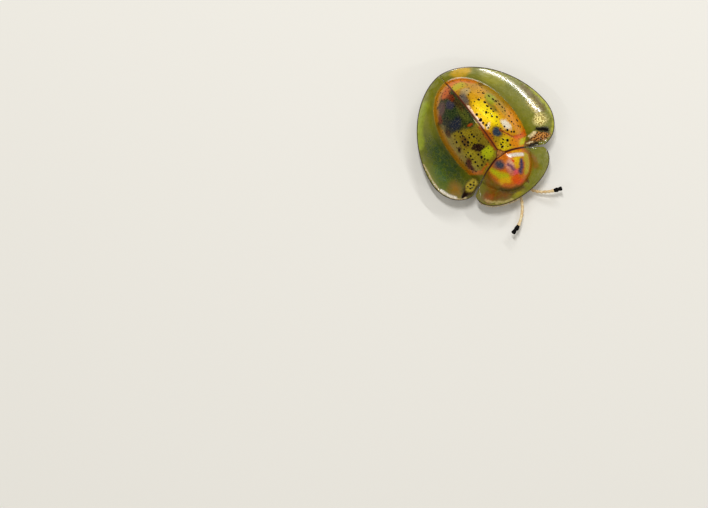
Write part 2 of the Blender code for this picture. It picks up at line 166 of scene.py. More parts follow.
class Finish(Graph):
    # a material's tree, with the place on the piece in millimetres
    def __init__(self, name, constants):
        self.material = bpy.data.materials.new(name)
        self.material.use_nodes = True
        super().__init__(self.material.node_tree)
        self.shader = self.tree.nodes["Principled BSDF"]
        for socket, value in constants.items():
            self.shader.inputs[socket].default_value = value
        centred = self.vector("SUBTRACT", self.add("ShaderNodeTexCoord").out("Object"), (0, shiftY * mm, 0))
        self.spot = self.scaled(centred, 1 / mm)
        self.plan = self.vector("MULTIPLY", self.spot, (1, 1, 0))

    def noise(self, scale, detail, roughness=0.5, out=0):
        return self.add("ShaderNodeTexNoise",
                        {"Vector": self.spot, "Scale": scale, "Detail": detail, "Roughness": roughness}, out)

    def cells(self, scale, **settings):
        return self.add("ShaderNodeTexVoronoi", {"Vector": self.spot, "Scale": scale}, "Distance", **settings)

    def attribute(self, name):
        return self.add("ShaderNodeAttribute", None, "Fac", attribute_name=name)

    def richer(self, colour, richness):
        return self.add("ShaderNodeHueSaturation", {"Saturation": richness, "Color": colour})

    def patch(self, place, at, size, turn, soft):
        # 1 inside an ellipse on the plan, fading out over its edge
        local = self.add("ShaderNodeMapping", {
            "Vector": place, "Location": (*at, 0), "Rotation": (0, 0, math.radians(turn)), "Scale": (*size, 1e6)},
            vector_type="TEXTURE")
        return self.ease(self.vector("LENGTH", local, out="Value"), 1 + soft / 2, 1 - soft / 2)

    def stroke(self, place, path, width, soft):
        # 1 along a line of points, fading out at its sides
        inside = None
        for start, end in zip(path, path[1:]):
            run = Vector((end[0] - start[0], end[1] - start[1], 0))
            fromStart = self.vector("SUBTRACT", place, (*start, 0))
            share = self.vector("DOT_PRODUCT", fromStart, tuple(run / run.length_squared), out="Value")
            nearest = self.scaled(tuple(run), self.add("ShaderNodeClamp", [share]))
            away = self.vector("DISTANCE", fromStart, nearest, out="Value")
            inside = away if inside is None else inside.math("MINIMUM", away)
        return self.ease(inside, width * (1 + soft / 2), width * (1 - soft / 2))

    def mark(self, place, mark):
        # 1 inside a spot or a streak; a still one keeps the outline that it was drawn with
        place = self.plan if mark.get("still") else place
        soft = mark.get("soft", 0.8)
        if "path" in mark:
            return self.stroke(place, mark["path"], mark["width"], soft)
        return self.patch(place, mark["at"], mark["size"], mark["turn"], soft)

    def paint(self, place, colour, marks):
        # lays marks over a ground
        for mark in marks:
            colour = self.mix(self.mark(place, mark) * mark.get("amount", 0.9), colour, tint(*mark["colour"]))
        return colour

    def shaken(self, coarse, fine):
        # the place on the plan, shaken a little so that no patch keeps a drawn outline
        place = self.plan
        for scale, reach in ((1.3, coarse), (6.5, fine)):
            shake = self.vector("SUBTRACT", self.noise(scale, 2.0, out="Color"), (0.5, 0.5, 0.5))
            place = self.vector("MULTIPLY_ADD", shake, (reach, reach, 0), place)
        return place

    def feed(self, wires):
        for name, wire in wires.items():
            self.tree.links.new(wire.socket, self.shader.inputs[name])

    def bump(self, height, distance, strength):
        return self.add("ShaderNodeBump", {"Strength": strength, "Distance": distance * mm, "Height": height})


# Marks on the plates. What more they may say: soft, the breadth of the edge in shares of the size; amount, how
# strong; dense, how opaque the clear horn is there; matt, how dull; fleck, a second colour in small dots; still.

def spot(x, y, wide, long, turn, colour, **more):
    return {"at": (x, y), "size": (wide, long), "turn": turn, "colour": colour, **more}


def streak(path, width, colour=None, **more):
    return {"path": path, "width": width, "colour": colour, **more}


leftDisc = {
    "ground": (226, 158, 26),
    "richness": 1.22,
    "edge": (0.985, 1.03),  # where the gilding ends, in shares of the disc
    "rimColour": (212, 92, 12),  # of the gilding near its edge
    "marks": [
        spot(2.85, 4.6, 0.6, 1.9, 10, (176, 138, 40)),
        spot(1.15, 3.3, 0.85, 2.0, 4, (252, 214, 30)),
        spot(1.3, 3.2, 0.45, 1.2, 4, (255, 232, 60)),
        spot(3.0, 1.3, 0.5, 1.4, 0, (238, 154, 28)),
        spot(1.97, 3.7, 0.24, 0.8, 6, (132, 116, 30)),
        spot(2.3, 4.45, 0.4, 0.75, 10, (160, 172, 34)),
        spot(2.55, 3.3, 0.25, 0.9, 0, (176, 146, 40), amount=0.7),
        spot(1.5, 5.5, 0.9, 0.6, 0, (226, 166, 30)),
        spot(1.4, 6.5, 1.0, 0.6, -20, (202, 146, 28)),
        spot(0.85, 6.2, 0.55, 0.45, 10, (196, 178, 138), soft=1.3, amount=0.9),
        spot(0.28, 5.6, 0.45, 0.8, 0, (80, 86, 92), soft=1.2),
        spot(2.5, 6.1, 0.26, 0.24, 0, (112, 74, 44), amount=0.85),
        spot(0.5, 7.1, 0.75, 0.36, -8, (196, 184, 26)),
        streak([(-0.3, 7.75), (0.5, 7.85), (1.4, 7.45), (2.1, 6.75)], 0.26, (228, 122, 34)),
        streak([(0.05, -0.3), (0.15, 0.6), (0.12, 2.0)], 0.2, (176, 88, 26), soft=1.2),
        spot(0.85, 0.25, 0.75, 0.68, 0, (214, 196, 22)),
        spot(1.75, -0.2, 0.42, 0.6, 30, (240, 148, 28)),
        spot(2.45, -0.36, 0.5, 0.26, 22, (206, 210, 44)),
        spot(0.9, 1.45, 0.52, 0.56, 0, (50, 64, 82), amount=1.0),
        spot(0.45, 0.95, 0.28, 0.35, 0, (158, 140, 62), amount=0.8),
        streak([(1.35, 1.5), (1.55, 1.0), (1.78, 0.55), (2.15, 0.2)], 0.09, (150, 58, 14), soft=1.2),
        streak([(2.15, 0.2), (2.65, 0.1), (3.15, 0.2), (3.4, 0.55)], 0.2, (232, 98, 22), soft=1.2),
        # painted highlights: a white oval on the shoulder hump, a short pale dash, and a pale pink streak beside the
        # seam
        spot(2.0, 1.6, 0.34, 0.58, 12, (255, 248, 226), soft=1.0, amount=1.0),
        spot(0.55, 2.32, 0.34, 0.16, 35, (255, 240, 206)),
        streak([(0.12, 2.5), (0.1, 3.6), (0.12, 4.85)], 0.17, (255, 228, 204), soft=0.7),
    ],
}
# the wing case on the animal's right: the same gilded plate as the left one, coloured darker and greener as painted
# shade, darkest in its hind half
rightDisc = {
    "ground": (142, 126, 44),
    "richness": 1.1,
    "edge": (0.985, 1.03),
    "rimColour": (172, 110, 24),
    "marks": [
        spot(-2.0, 2.6, 0.9, 1.2, 0, (150, 132, 46)),
        spot(-0.55, 1.9, 0.5, 1.2, 0, (128, 112, 40)),
        spot(-0.85, 0.45, 0.52, 0.56, 0, (192, 202, 38)),
        spot(-2.2, 0.9, 0.5, 0.9, 0, (172, 158, 62)),
        spot(-1.95, 2.5, 0.28, 0.55, 0, (98, 66, 30), amount=0.8),
        spot(-2.75, 0.62, 0.3, 0.68, -12, (78, 24, 4), amount=1.0),
        spot(-2.68, 2.25, 0.2, 0.22, 0, (70, 40, 16)),
        spot(-1.3, 1.33, 0.62, 0.33, -32, (38, 14, 10), soft=0.4, amount=1.0),
        # the dark hind half, parted from the front by a slanting edge: painted shade, in dark greens, navy and
        # purple
        spot(-0.95, 5.45, 1.9, 2.1, 12, (44, 54, 26), soft=0.25, amount=1.0),
        spot(-1.75, 4.75, 1.2, 0.7, 45, (42, 46, 34), soft=0.4, amount=1.0),
        spot(-0.7, 3.7, 0.55, 0.7, 20, (46, 60, 20), soft=0.5),
        spot(-1.7, 4.3, 0.62, 0.5, 30, (30, 40, 62)),
        spot(-1.35, 5.3, 0.6, 0.6, 0, (40, 62, 30)),
        spot(-0.6, 4.6, 0.3, 0.8, 0, (84, 92, 34), amount=0.8),
        spot(-0.42, 5.5, 0.24, 0.7, 0, (66, 48, 20), amount=0.8),
        spot(-1.0, 6.05, 0.4, 0.42, 0, (58, 54, 78)),
        spot(-1.85, 6.3, 0.7, 0.3, 40, (104, 74, 74), amount=0.8),
        spot(-0.55, 6.6, 0.24, 0.42, 10, (120, 36, 10)),
        spot(-2.45, 5.7, 0.24, 0.5, -15, (128, 52, 26)),
        spot(-2.62, 4.85, 0.2, 0.3, 0, (116, 100, 46), amount=0.8),
        spot(-2.65, 4.05, 0.2, 0.45, 0, (70, 40, 20)),
        spot(-0.72, 3.38, 0.22, 0.13, -10, (170, 66, 26)),
        streak([(-3.25, 0.0), (-3.35, 1.6), (-3.3, 3.2), (-3.05, 4.6)], 0.2, (190, 132, 40), soft=1.2),
        streak([(-2.85, 5.9), (-2.2, 6.9), (-1.2, 7.65), (0, 8.0)], 0.3, (214, 142, 48), soft=1.2),
        streak([(-0.9, 7.1), (-0.3, 7.5)], 0.28, (212, 96, 8), soft=1.4),
        streak([(-3.2, 0.3), (-2.9, -0.15), (-2.2, -0.45), (-1.4, -0.35)], 0.13, (206, 116, 36), soft=1.2),
        streak([(-0.12, 0.4), (-0.12, 2.6)], 0.14, (150, 70, 24), soft=1.2),
    ],
}
shieldDisc = {
    "ground": (226, 124, 34),
    "richness": 1.05,
    "rimColour": (178, 100, 26),
    "edge": (0.92, 1.12),
    "marks": [
        streak([(1.9, -1.5), (1.65, -2.2), (1.1, -2.75)], 0.2, (194, 182, 50), soft=1.4),
        streak([(-1.4, -1.0), (-1.2, -1.5), (-0.9, -1.95), (-0.6, -2.15)], 0.27, (208, 212, 20), soft=1.4),
        streak([(-1.2, -2.2), (-0.6, -2.5), (-0.3, -2.6)], 0.28, (255, 202, 10), soft=1.4),
        streak([(-1.2, -2.6), (-0.7, -3.05)], 0.22, (228, 118, 14), soft=1.5),
        streak([(-0.1, -2.75), (0.15, -3.25)], 0.36, (248, 88, 34), soft=1.3),
        spot(-0.85, -0.75, 0.45, 0.25, 25, (156, 100, 72), soft=1.4),
        spot(-0.5, -1.0, 0.46, 0.38, -20, (66, 70, 88), soft=1.2, amount=1.0),
        spot(0.25, -1.0, 0.4, 0.3, 0, (240, 130, 40), soft=1.4),
        spot(0.0, -1.75, 0.3, 0.5, 0, (216, 138, 122), soft=1.5),
        # painted sheen: a pale pink patch
        spot(0.28, -1.45, 0.34, 0.42, 0, (244, 190, 168), soft=1.6),
        streak([(0.08, -1.3), (0.2, -1.75), (0.35, -2.1)], 0.12, (128, 70, 108), soft=1.5),
        spot(0.31, -2.33, 0.32, 0.22, 0, (252, 108, 126), soft=1.4),
        spot(0.7, -1.9, 0.25, 0.25, 0, (250, 196, 60), soft=1.4),
        spot(1.05, -1.5, 0.45, 0.32, 20, (255, 214, 14), soft=1.3),
        streak([(1.32, -1.78), (1.0, -2.15), (0.68, -2.5)], 0.18, (72, 64, 102), soft=1.7, amount=1.0),
        spot(0.67, -1.41, 0.15, 0.13, 0, (226, 64, 34)),
        spot(1.4, -0.9, 0.5, 0.12, -28, (248, 184, 50)),
        # painted highlight: the white bar near the shield's base
        streak([(0.64, -0.84), (1.16, -1.07), (1.68, -1.34)], 0.15, (255, 250, 236), soft=1.3, amount=1.0,
               still=True),
    ],
}
skirt = {
    "ground": (128, 128, 22),
    "richness": 1.3,
    "alpha": 0.80,
    "rimColour": (58, 36, 10),  # of the line round the rim
    "rimLine": 0.10,  # its breadth in millimetres
    # marks in the horn itself
    "shades": [
        # painted shadow: these two marks darken the clear horn on the animal's right, where the shadow under the
        # animal shows through it
        spot(-4.15, 2.4, 1.3, 2.9, 4, (30, 58, 26), amount=0.98, soft=1.4),
        spot(-5.5, 1.3, 0.6, 1.4, -6, (64, 96, 62), amount=0.7, soft=1.2),
        spot(-5.05, -0.3, 0.6, 0.7, -20, (150, 104, 12), soft=1.4, dense=0.95),
        streak([(-5.3, 4.8), (-4.7, 5.9), (-3.9, 6.9), (-2.7, 7.7)], 0.32, (158, 172, 44), soft=1.4),
        spot(3.9, 6.1, 0.7, 1.1, 35, (172, 166, 44), amount=0.7, soft=1.2),
        spot(1.75, 8.25, 1.0, 0.46, -18, (222, 176, 24), soft=0.6, amount=1.0, dense=0.9),
        streak([(5.1, -1.25), (5.95, -0.4), (6.25, 0.6), (6.28, 1.4), (6.15, 3.0), (5.75, 4.8), (5.0, 6.3)], 0.14,
               (182, 182, 62), soft=1.0),
        # painted shade: a brown band between the highlight streak and the rim
        streak([(5.75, 1.0), (5.7, 2.6), (5.5, 3.9)], 0.24, (112, 92, 38), soft=1.2),
        streak([(-1.4, -3.3), (-2.2, -2.9), (-3.0, -2.4)], 0.62, (122, 72, 12), soft=1.5, amount=1.0, dense=0.97),
        streak([(-1.4, -2.8), (-0.7, -3.45), (0.0, -3.7)], 0.3, (84, 62, 10), soft=1.5, amount=1.0, dense=0.97),
        spot(-2.95, -2.75, 0.4, 0.28, 20, (162, 72, 14), soft=1.6, amount=0.9),
        spot(-0.57, -3.95, 0.6, 0.2, 0, (160, 148, 36), soft=1.4, dense=0.95),
        streak([(-1.9, -1.1), (-2.3, -1.6), (-2.1, -2.1)], 0.36, (146, 90, 22), soft=1.5, dense=0.95),
        streak([(2.3, -1.5), (2.5, -2.1), (2.2, -2.75)], 0.27, (150, 98, 26), soft=1.6, dense=0.9),
        spot(0.72, -3.3, 0.18, 0.27, 20, (84, 30, 14), soft=0.8, dense=1.0),
        spot(-3.2, -1.7, 0.7, 0.35, 25, (126, 116, 40), soft=1.2),
    ],
    # marks that hide what is under them
    "marks": [
        # painted highlight: this mark and the next, the broad lower end of the highlight streak on the animal's
        # left, broken by flecks
        streak([(5.0, 0.45), (5.25, 1.3), (5.2, 2.3)], 0.32, (238, 214, 112), soft=1.5, fleck=(120, 98, 26),
               amount=0.8),
        spot(4.98, 0.4, 0.66, 0.54, -20, (255, 240, 156), soft=0.9, fleck=(150, 122, 34), amount=1.0, matt=0.7),
        # partly painted highlight: a pale streak along the skirt on the animal's left, where a softbox also gives a
        # real one
        streak([(3.5, 7.05), (4.15, 6.25), (4.7, 5.4), (5.08, 4.4), (5.25, 3.3), (5.28, 2.2), (5.15, 1.1)], 0.12,
               (255, 242, 206), soft=1.3, amount=0.45),
        streak([(2.6, -0.72), (3.4, -0.75)], 0.24, (124, 74, 26), soft=1.0, amount=0.9, matt=0.6),
        spot(4.1, -0.83, 0.98, 0.46, -18, (70, 34, 6), soft=0.6, fleck=(206, 140, 66), amount=1.0, matt=0.9),
        streak([(4.25, -0.1), (4.67, -0.38), (5.0, -0.66)], 0.20, (12, 7, 2), soft=1.4, amount=1.0, matt=1.0),
        streak([(2.8, -1.02), (3.5, -1.2)], 0.17, (26, 14, 4), soft=1.4, amount=1.0, matt=1.0),
        # painted highlights: two cream dashes by the left shoulder
        streak([(3.3, -0.34), (3.85, -0.26)], 0.13, (248, 226, 172), soft=0.9, amount=1.0),
        streak([(2.7, -0.68), (3.15, -0.8)], 0.06, (248, 226, 172), soft=1.0, amount=0.9),
        spot(-3.8, -0.95, 0.98, 0.56, 18, (58, 32, 8), soft=0.6, amount=0.95, matt=0.9),
        spot(-4.6, -1.15, 0.42, 0.24, 10, (30, 14, 4), soft=0.6, amount=1.0, matt=1.0),
        spot(-3.65, -0.82, 0.68, 0.42, 18, (196, 174, 52), soft=0.5, amount=1.0),
        streak([(-3.35, -2.7), (-2.86, -3.2), (-2.1, -3.75), (-1.3, -4.05)], 0.09, (228, 206, 126), soft=1.5,
               amount=0.6),
        # painted highlight: a thin cream line along the rim on the animal's right, and its bright thick part
        streak([(-4.6, -1.5), (-5.2, -1.2), (-5.72, -0.66), (-6.06, 0.06), (-6.24, 1.0), (-6.22, 2.0),
               (-5.98, 3.3)], 0.055, (240, 210, 164), soft=1.4, amount=0.8),
        streak([(-5.4, -0.86), (-5.8, -0.32), (-6.08, 0.42)], 0.12, (255, 246, 230), soft=1.5, amount=1.0,
               still=True),
    ],
    # the clouds and the net in the clear horn, and the painted shade at its foot round the dome
    "cloudColour": (88, 96, 28),
    "netColour": (200, 194, 90),
    "footShadeColour": (74, 66, 16),
    "netScale": 2.6,
}
plateWear = {
    "discGloss": 0.5,  # share of the gloss that the gilding keeps
    "metal": 0.15,  # how far the gilding is metallic
    "roughness": 0.30,
    "dotColour": (8, 4, 3),
    "seamColour": (92, 34, 10),
    # where the gloss is worn off
    "worn": [
        streak([(0.66, 5.0), (0.84, 3.48), (1.12, 2.2)], 0.24),
        streak([(-0.98, 3.6), (-1.26, 1.95)], 0.24),
        streak([(0.78, 0.45), (0.66, -0.3)], 0.24),
        streak([(-2.2, -1.0), (-2.2, -1.8), (-2.15, -2.5)], 0.5),
        streak([(-5.8, 3.3), (-5.95, 1.9), (-5.85, 0.8), (-5.5, 0.0)], 0.3),
        streak([(-4.9, 4.2), (-5.0, 2.6), (-4.7, 0.8)], 0.7, soft=1.4),
        streak([(5.95, -0.4), (6.25, 0.6), (6.28, 1.4), (6.15, 3.0), (5.75, 4.8), (5.0, 6.3)], 0.4),
    ],
    "coat": {"Coat Roughness": 0.09, "Coat IOR": 1.48, "Specular IOR Level": 0.1},
    "shake": (0.42, 0.20),  # how far the marks stray from their drawn outlines, coarsely and finely
    "stain": (150, 96, 30),
    "glint": (255, 226, 120),
    "fold": 1.07,  # the dull fold round the dome, in shares of the disc
    "insideColours": ((148, 92, 28), (92, 52, 16)),
}


def makePlateFinish(name, look, inner):
    # gilded horn in the middle of a plate, running out into clear horn with a dark line round its rim
    finish = Finish(name, plateWear["coat"])
    mix, ease = finish.mix, finish.ease
    place = finish.shaken(*plateWear["shake"])
    grain = finish.noise(9.0, 4.0, 0.65)
    cloud = finish.noise(2.4, 4.0, 0.6)
    share, seamGap, rimGap, pit = map(finish.attribute, ("discShare", "seamGap", "rimGap", "pit"))
    dark = ease(pit, 0.0, 0.3)

    gilt = mix(ease(share, 0.84, 0.99) * 0.8, tint(*look["ground"]), tint(*look["rimColour"]))
    gilt = finish.paint(place, gilt, look["marks"])
    gilt = mix(ease(grain, 0.36, 0.74) * 0.45, gilt, tint(*plateWear["stain"]), "MULTIPLY")
    gilt = mix(ease(grain, 0.50, 0.30) * 0.12, gilt, tint(*plateWear["glint"]), "SCREEN")
    gilt = finish.richer(gilt, look["richness"])

    # clear horn: clouded, netted, and darker at the foot of the dome as painted shade
    net = ease(finish.cells(skirt["netScale"], feature="DISTANCE_TO_EDGE"), 0.0, 0.09)
    # painted shade: the clear horn is darkened towards the foot of the dome, and made denser there
    foot = ease(share, 1.22, 1.0)
    clear = finish.paint(place, tint(*skirt["ground"]), skirt["shades"])
    clear = mix(ease(cloud, 0.42, 0.7) * 0.45, clear, tint(*skirt["cloudColour"]))
    clear = mix(0.08 * (1 - net), clear, tint(*skirt["netColour"]))
    clear = finish.richer(mix(foot * 0.4, clear, tint(*skirt["footShadeColour"])), skirt["richness"])
    alpha = skirt["alpha"] + 0.14 * ease(cloud, 0.35, 0.75) + 0.2 * foot
    for mark in skirt["shades"]:
        if "dense" in mark:
            alpha = alpha.most(finish.mark(place, mark) * mark["dense"])
    speckle = ease(finish.noise(11.0, 2.0, 0.7), 0.40, 0.56)
    flecks = ease(finish.noise(8.5, 1.0, 0.4), 0.48, 0.56)
    matt = 0.0
    for mark in skirt["marks"]:
        inside = finish.mark(place, mark) * mark["amount"]
        if "matt" not in mark and "fleck" not in mark:
            inside = inside * (0.55 + 0.45 * speckle)
        shade = tint(*mark["colour"])
        if "fleck" in mark:
            shade = mix(flecks, shade, tint(*mark["fleck"]))
        clear = mix(inside, clear, shade)
        alpha = alpha.most(inside)
        if "matt" in mark:
            matt = inside * mark["matt"] + matt

    low, high = look["edge"]
    middle = ease(share + 0.10 * (grain - 0.5), high, low)
    line = ease(rimGap, skirt["rimLine"], skirt["rimLine"] * 0.5)
    colour = mix(middle, clear, gilt)
    colour = mix(ease(seamGap, 0.10, 0.03) * (0.15 + 0.85 * middle), colour, tint(*plateWear["seamColour"]))
    colour = mix(line, colour, tint(*skirt["rimColour"]))
    colour = mix(dark, colour, tint(*plateWear["dotColour"]))
    alpha = alpha.most(middle, line * 0.95, dark)
    if inner:
        light, deep = (tint(*shade) for shade in plateWear["insideColours"])
        horn = mix(ease(cloud, 0.35, 0.7), light, deep)
        finish.feed({"Base Color": mix(middle, colour, horn), "Alpha": middle.most(alpha * 0.3),
                     "Roughness": 0.35 + 0.2 * grain, "Normal": finish.bump(cloud, 0.02, 0.4)})
        return finish.material
    metal = plateWear["metal"] * middle * (1 - dark)
    rough = plateWear["roughness"] + 0.14 * grain + 0.3 * dark
    height = finish.noise(24.0, 2.0, 0.6) * 0.25 + (1 - middle) * net * 0.7
    # no gloss on pits, rim, matt marks, the fold round the dome, worn streaks and dark gilding
    fold = ease((share - plateWear["fold"]).math("ABSOLUTE"), 0.16, 0.05)
    dull = dark.most(line, matt, fold * 0.9, *(finish.mark(finish.plan, mark) for mark in plateWear["worn"]))
    dull = dull.most(ease(finish.add("ShaderNodeRGBToBW", [gilt]), 0.13, 0.03) * middle * 0.9)
    gloss = (1 - middle * (1 - plateWear["discGloss"])) * (1 - 0.92 * dull)
    finish.feed({"Base Color": colour, "Metallic": metal, "Roughness": rough, "Alpha": alpha,
                 "Coat Weight": gloss, "Normal": finish.bump(height, 0.016, 0.5)})
    return finish.material


def makeHornFinish(name, colour, deep, scale, roughness=0.34, pitScale=14.0, pitDepth=0.02, pitShade=0.4,
                   gloss=0.3):
    # body horn: two browns in clouds, finely pitted, with a low gloss
    finish = Finish(name, {"Coat Weight": gloss, "Coat Roughness": 0.2, "Specular IOR Level": gloss})
    cloud = finish.noise(scale, 5.0, 0.6)
    shade = finish.mix(finish.ease(cloud, 0.35, 0.68), tint(*deep), tint(*colour))
    pits = finish.ease(finish.cells(pitScale), 0.05, 0.4)
    shade = finish.mix(pitShade * (1 - pits), shade, tint(18, 9, 4))
    finish.feed({"Base Color": shade, "Roughness": roughness + 0.2 * cloud,
                 "Normal": finish.bump(pits, pitDepth, 0.7)})
    return finish.material


print("finishes of the plates")
goldFinishes, greenFinishes, amberFinishes = (
    (makePlateFinish(name, look, False), makePlateFinish(name + "Inside", look, True))
    for name, look in (("goldWingCase", leftDisc), ("greenWingCase", rightDisc), ("amberShield", shieldDisc)))
bellyFinish = makeHornFinish("darkBelly", (58, 34, 16), (26, 14, 8), 1.4)
headFinish = makeHornFinish("brownHead", (150, 96, 40), (92, 50, 20), 2.2)
limbFinish = makeHornFinish("strawLimb", (206, 160, 84), (168, 116, 52), 3.0, 0.34, 24.0, 0.01, 0.15)
feelerFinish = makeHornFinish("creamFeeler", (246, 228, 180), (222, 180, 118), 4.0, 0.3, 30.0, 0.004, 0.08)
tipFinish = makeHornFinish("blackTip", (14, 10, 8), (6, 4, 4), 3.0, 0.5, 24.0, 0.01, gloss=0.05)
bristleFinish = makeHornFinish("paleBristle", (226, 202, 150), (190, 158, 98), 2.0, 0.5, 30.0, 0.0)
eyeFinish = makeHornFinish("blackEye", (24, 20, 22), (8, 7, 9), 2.0, 0.12, 40.0, 0.0)


# Meshes

def newObject(name, data):
    made = bpy.data.objects.new(name, data)
    bpy.context.scene.collection.objects.link(made)
    return made


def meshFrom(name, points, faces, materials):
    # points are in millimetres from the scutellum; the mesh is in the frame's metres
    mesh = bpy.data.meshes.new(name)
    placed = (np.asarray(points, float) + (0, shiftY, 0)) * mm
    mesh.from_pydata(placed.tolist(), [], faces)
    for material in materials:
        mesh.materials.append(material)
    mesh.shade_smooth()
    mesh.update()
    return mesh


def circle(count, start=0.0):
    # even turns all the way round
    return np.linspace(start, start + 2 * math.pi, count + 1)[:-1]


def ringFaces(rings, columns):
    # quads between closed rings of points that follow one another
    return [(a + column, a + after, a + columns + after, a + columns + column)
            for a in range(0, (rings - 1) * columns, columns)
            for column, after in zip(range(columns), [*range(1, columns), 0])]


def swell(value, height, at, width):
    # a bell of some height where value is at
    return height * np.exp(-((value - at) / width) ** 2)


def addAttribute(mesh, name, values):
    layer = mesh.attributes.new(name, "FLOAT", "POINT")
    layer.data.foreach_set("value", np.asarray(values, np.float32))


def plainMesh(made):
    # works the modifiers into a new mesh and drops them; a curve gives way to a mesh object
    bpy.context.view_layer.update()
    graph = bpy.context.evaluated_depsgraph_get()
    mesh = bpy.data.meshes.new_from_object(made.evaluated_get(graph), depsgraph=graph)
    if made.type == "CURVE":
        name = made.name
        bpy.data.objects.remove(made, do_unlink=True)
        made = newObject(name, mesh)
    made.modifiers.clear()
    mesh.name = made.name
    made.data = mesh
    return made


def solid(name, points, faces, material):
    # a closed surface with all its faces turned outwards
    made = newObject(name, meshFrom(name, points, faces, (material,)))
    work = bmesh.new()
    work.from_mesh(made.data)
    bmesh.ops.remove_doubles(work, verts=work.verts, dist=1e-7)
    bmesh.ops.recalc_face_normals(work, faces=work.faces)
    work.to_mesh(made.data)
    work.free()
    made.data.shade_smooth()
    return made


def joined(name, parts):
    # one object from several, with their materials kept
    work = bmesh.new()
    materials = []
    for part in parts:
        mesh = part.data
        first = len(work.faces)
        work.from_mesh(mesh)
        work.faces.ensure_lookup_table()
        materials += [material for material in mesh.materials if material not in materials]
        for face in work.faces[first:]:
            face.material_index = materials.index(mesh.materials[face.material_index])
        bpy.data.objects.remove(part, do_unlink=True)
    mesh = bpy.data.meshes.new(name)
    work.to_mesh(mesh)
    work.free()
    for material in materials:
        mesh.materials.append(material)
    mesh.shade_smooth()
    return newObject(name, mesh)


def settle(made, slot, *nodes):
    # hands a finished piece to the frame in place of the CAD nodes it stands for
    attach(made, "root")
    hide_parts(*nodes)


# Shape of the back

def baseEdgeY(x):
    share = np.clip((x - back["notchHalfWidth"]) / (back["shoulderX"] - back["notchHalfWidth"]), 0, 1)
    return back["notchFrontY"] + (back["shoulderY"] - back["notchFrontY"]) * share ** back["basePower"]


def wingCaseOutline():
    # plan of the left wing case from the notch round the shoulder to the tail
    points = []
    for share in np.linspace(0, 1, 8)[:-1]:
        points.append((back["seam"] + (back["notchHalfWidth"] - back["seam"]) * share,
                       back["notchRearY"] + (back["notchFrontY"] - back["notchRearY"]) * share))
    for x in np.linspace(back["notchHalfWidth"], back["shoulderX"], 60)[:-1]:
        points.append((x, baseEdgeY(x)))
    for turn in np.radians(np.linspace(90, 0, 60)):
        x = back["shoulderX"] + (back["halfWidth"] - back["shoulderX"]) * math.cos(turn)
        points.append((x, back["widestY"] + (back["shoulderY"] - back["widestY"]) * math.sin(turn)))
    power = 2 / back["tailPower"]
    for turn in np.radians(np.linspace(0, 90, 200)[1:]):
        x = back["halfWidth"] * math.cos(turn) ** power
        y = back["widestY"] + (back["tailY"] - back["widestY"]) * math.sin(turn) ** power
        points.append((max(back["seam"], x), y))
    return np.array(points)


def shieldOutline():
    # plan of the left half of the neck shield from the middle of its front
    wide = back["shieldHalfWidth"]
    reach = back["shieldFrontY"] - back["shieldWidestY"]
    points = [(wide * math.cos(turn), back["shieldWidestY"] + reach * math.sin(turn))
              for turn in np.radians(np.linspace(90, 0, 100))]
    for x in np.linspace(0.985 * wide, 0.3, 60):
        points.append((x, baseEdgeY(x) - back["shieldGap"] - back["shieldBow"] * (x / wide) ** 4))
    points.append((0.0, back["shieldBaseY"]))
    return np.array(points)


def discShare(x, y):
    # 0 in the middle of the dome and 1 on its foot
    reach = np.where(y > back["discY"], back["discRear"], back["discFront"])
    return np.hypot(x / back["discHalfWidth"], (y - back["discY"]) / reach)


def polarOf(points, centre):
    # angle from straight ahead and distance, about a centre
    dx, dy = points[:, 0] - centre[0], centre[1] - points[:, 1]
    order = np.argsort(np.arctan2(dx, dy))
    return np.arctan2(dx, dy)[order], np.hypot(dx, dy)[order]


wingRim = wingCaseOutline()
shieldRim = shieldOutline()
wholeRim = np.vstack([
    shieldRim[shieldRim[:, 1] <= back["shieldWidestY"]],
    wingRim[(wingRim[:, 0] > back["shoulderX"]) | (wingRim[:, 1] > back["widestY"])],
])
rimAngles, rimDistances = polarOf(wholeRim, (0, back["discY"]))


def backHeight(x, y):
    # a dome on a skirt that rolls down to the rim
    share = np.maximum(discShare(x, y), 1e-4)
    distance = np.maximum(np.hypot(x, y - back["discY"]), 1e-4)
    rimDistance = np.interp(np.arctan2(np.abs(x), back["discY"] - y), rimAngles, rimDistances)
    discDistance = distance / share
    footZ = back["rimZ"] + back["skirtSlope"] * (rimDistance - discDistance)
    ahead = np.clip((back["discY"] - y) / distance, 0, 1) ** 2
    power, frontLess, roundness = back["domePowers"]
    inside = np.clip(share, 0, 1) ** (power - frontLess * ahead)
    dome = footZ + (back["topZ"] - footZ) * (1 - inside) ** roundness
    across = np.clip((distance - discDistance) / np.maximum(rimDistance - discDistance, 1e-3), 0, 1)
    roll = footZ + (back["rimZ"] - footZ) * across ** back["rollPower"]
    return np.where(share < 1, dome, roll)


